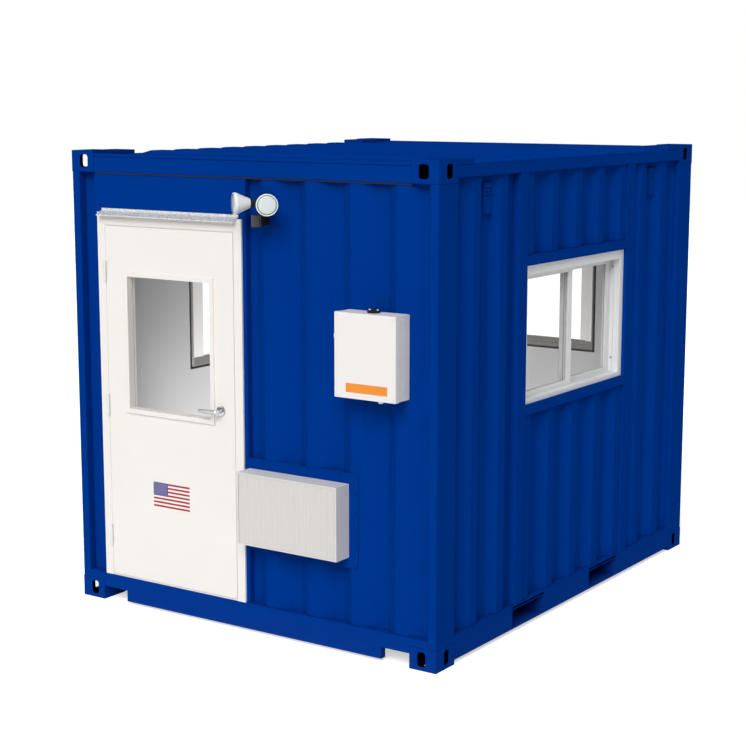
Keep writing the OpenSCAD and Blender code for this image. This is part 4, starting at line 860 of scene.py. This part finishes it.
def showsBackground(tree):  # 1 for rays that should meet the white background: straight, through glass or off metal
    rays = put(tree, "ShaderNodeLightPath").outputs
    bent = math2(tree, "MAXIMUM", rays["Is Transmission Ray"], rays["Is Glossy Ray"])
    return math2(tree, "MAXIMUM", rays["Is Camera Ray"], bent)

def makeStage():
    bm = bmesh.new()
    bmesh.ops.create_grid(bm, x_segments=1, y_segments=1, size=stage["size"]/2)
    mesh = bpy.data.meshes.new("studioFloor")
    bm.to_mesh(mesh)
    bm.free()
    for v in mesh.vertices:
        v.co.z = -stage["drop"]
    floor = bpy.data.objects.new("studioFloor", mesh)
    scene.collection.objects.link(floor)
    matt = {"Base Color": stage["color"], "Roughness": 0.9, "Specular IOR Level": 0.0}
    mat, tree, shader = newFinish("studioFloor", **matt)
    seen = showsBackground(tree)
    glow = put(tree, "ShaderNodeEmission", {"Color": (1, 1, 1, 1)})
    both = put(tree, "ShaderNodeAddShader")
    join(tree, (math2(tree, "MULTIPLY", seen, stage["lift"]), glow.inputs["Strength"]),
         (shader.outputs[0], both.inputs[0]), (glow.outputs[0], both.inputs[1]),
         (both.outputs[0], tree.nodes["Material Output"].inputs["Surface"]))
    mesh.materials.append(mat)

sky = dict(low=0.19, overhead=0.56, seen=1.0, fadeFrom=0.25, fadeTo=0.95)

def makeSky():
    world = bpy.data.worlds.new("studioSky")
    scene.world = world
    world.use_nodes = True
    tree = world.node_tree
    back = tree.nodes["Background"]
    back.inputs["Color"].default_value = (1, 1, 1, 1)
    seen = showsBackground(tree)
    aim = put(tree, "ShaderNodeSeparateXYZ")
    join(tree, (put(tree, "ShaderNodeTexCoord").outputs["Generated"], aim.inputs[0]))
    soft = put(tree, "ShaderNodeMapRange", {"From Min": sky["fadeFrom"], "From Max": sky["fadeTo"],
                                            "To Min": sky["low"], "To Max": sky["overhead"]})
    join(tree, (aim.outputs["Z"], soft.inputs["Value"]))
    white = math2(tree, "MULTIPLY", seen, math2(tree, "SUBTRACT", sky["seen"], soft.outputs[0]))
    join(tree, (math2(tree, "ADD", soft.outputs[0], white), back.inputs["Strength"]))

keyLight = dict(strength=2.32, angle=35.0, toward=(0.74, 0.28, -0.61))

def makeKey():
    lamp = bpy.data.lights.new("keySun", "SUN")
    lamp.energy = keyLight["strength"]
    lamp.angle = math.radians(keyLight["angle"])
    sun = bpy.data.objects.new("keySun", lamp)
    sun.rotation_euler = Vector(keyLight["toward"]).to_track_quat("-Z", "Y").to_euler()
    scene.collection.objects.link(sun)

# bounced daylight in the room, low, towards the far and back walls
roomFill = dict(power=37.0, size=(1.2, 0.5), along=0.25, across=0.25, rise=0.5, spread=145.0, toward=(0.7, 0.71, 0.0))

def makeRoomFill():
    low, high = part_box("floor_deck")
    lamp = bpy.data.lights.new("roomFill", "AREA")
    lamp.shape = "RECTANGLE"
    lamp.size, lamp.size_y = roomFill["size"]
    lamp.energy = roomFill["power"]
    lamp.spread = math.radians(roomFill["spread"])
    panel = bpy.data.objects.new("roomFill", lamp)
    panel.location = (low.x + (high.x - low.x)*roomFill["along"], low.y + (high.y - low.y)*roomFill["across"],
                      high.z + roomFill["rise"])
    panel.rotation_euler = Vector(roomFill["toward"]).to_track_quat("-Z", "Y").to_euler()
    panel.visible_camera = False
    scene.collection.objects.link(panel)

photoCamera = dict(place=(-8.3813, -5.5209, 2.9160), right=(0.562857, -0.826555, 0.00033),
                   up=(0.137289, 0.093883, 0.986072), back=(-0.815073, -0.554972, 0.166320),
                   focal=1672.38, frameHeight=747)

def makeCamera():
    cam = bpy.data.cameras.new("photoCamera")
    cam.sensor_width = 36.0
    cam.lens = photoCamera["focal"]*cam.sensor_width/photoCamera["frameHeight"]
    cam.clip_end = 200.0
    shot = bpy.data.objects.new("photoCamera", cam)
    axes = [Vector(photoCamera[k]).normalized() for k in ("right", "up", "back")]
    turn = Matrix((axes[0], axes[1], axes[2])).transposed().to_4x4()
    shot.matrix_world = Matrix.Translation(photoCamera["place"]) @ turn
    scene.collection.objects.link(shot)
    scene.camera = shot

for setUp in (makeStage, makeSky, makeKey, makeRoomFill, makeCamera):
    setUp()
scene.view_settings.view_transform = "Standard"
print("stage, light and camera set")
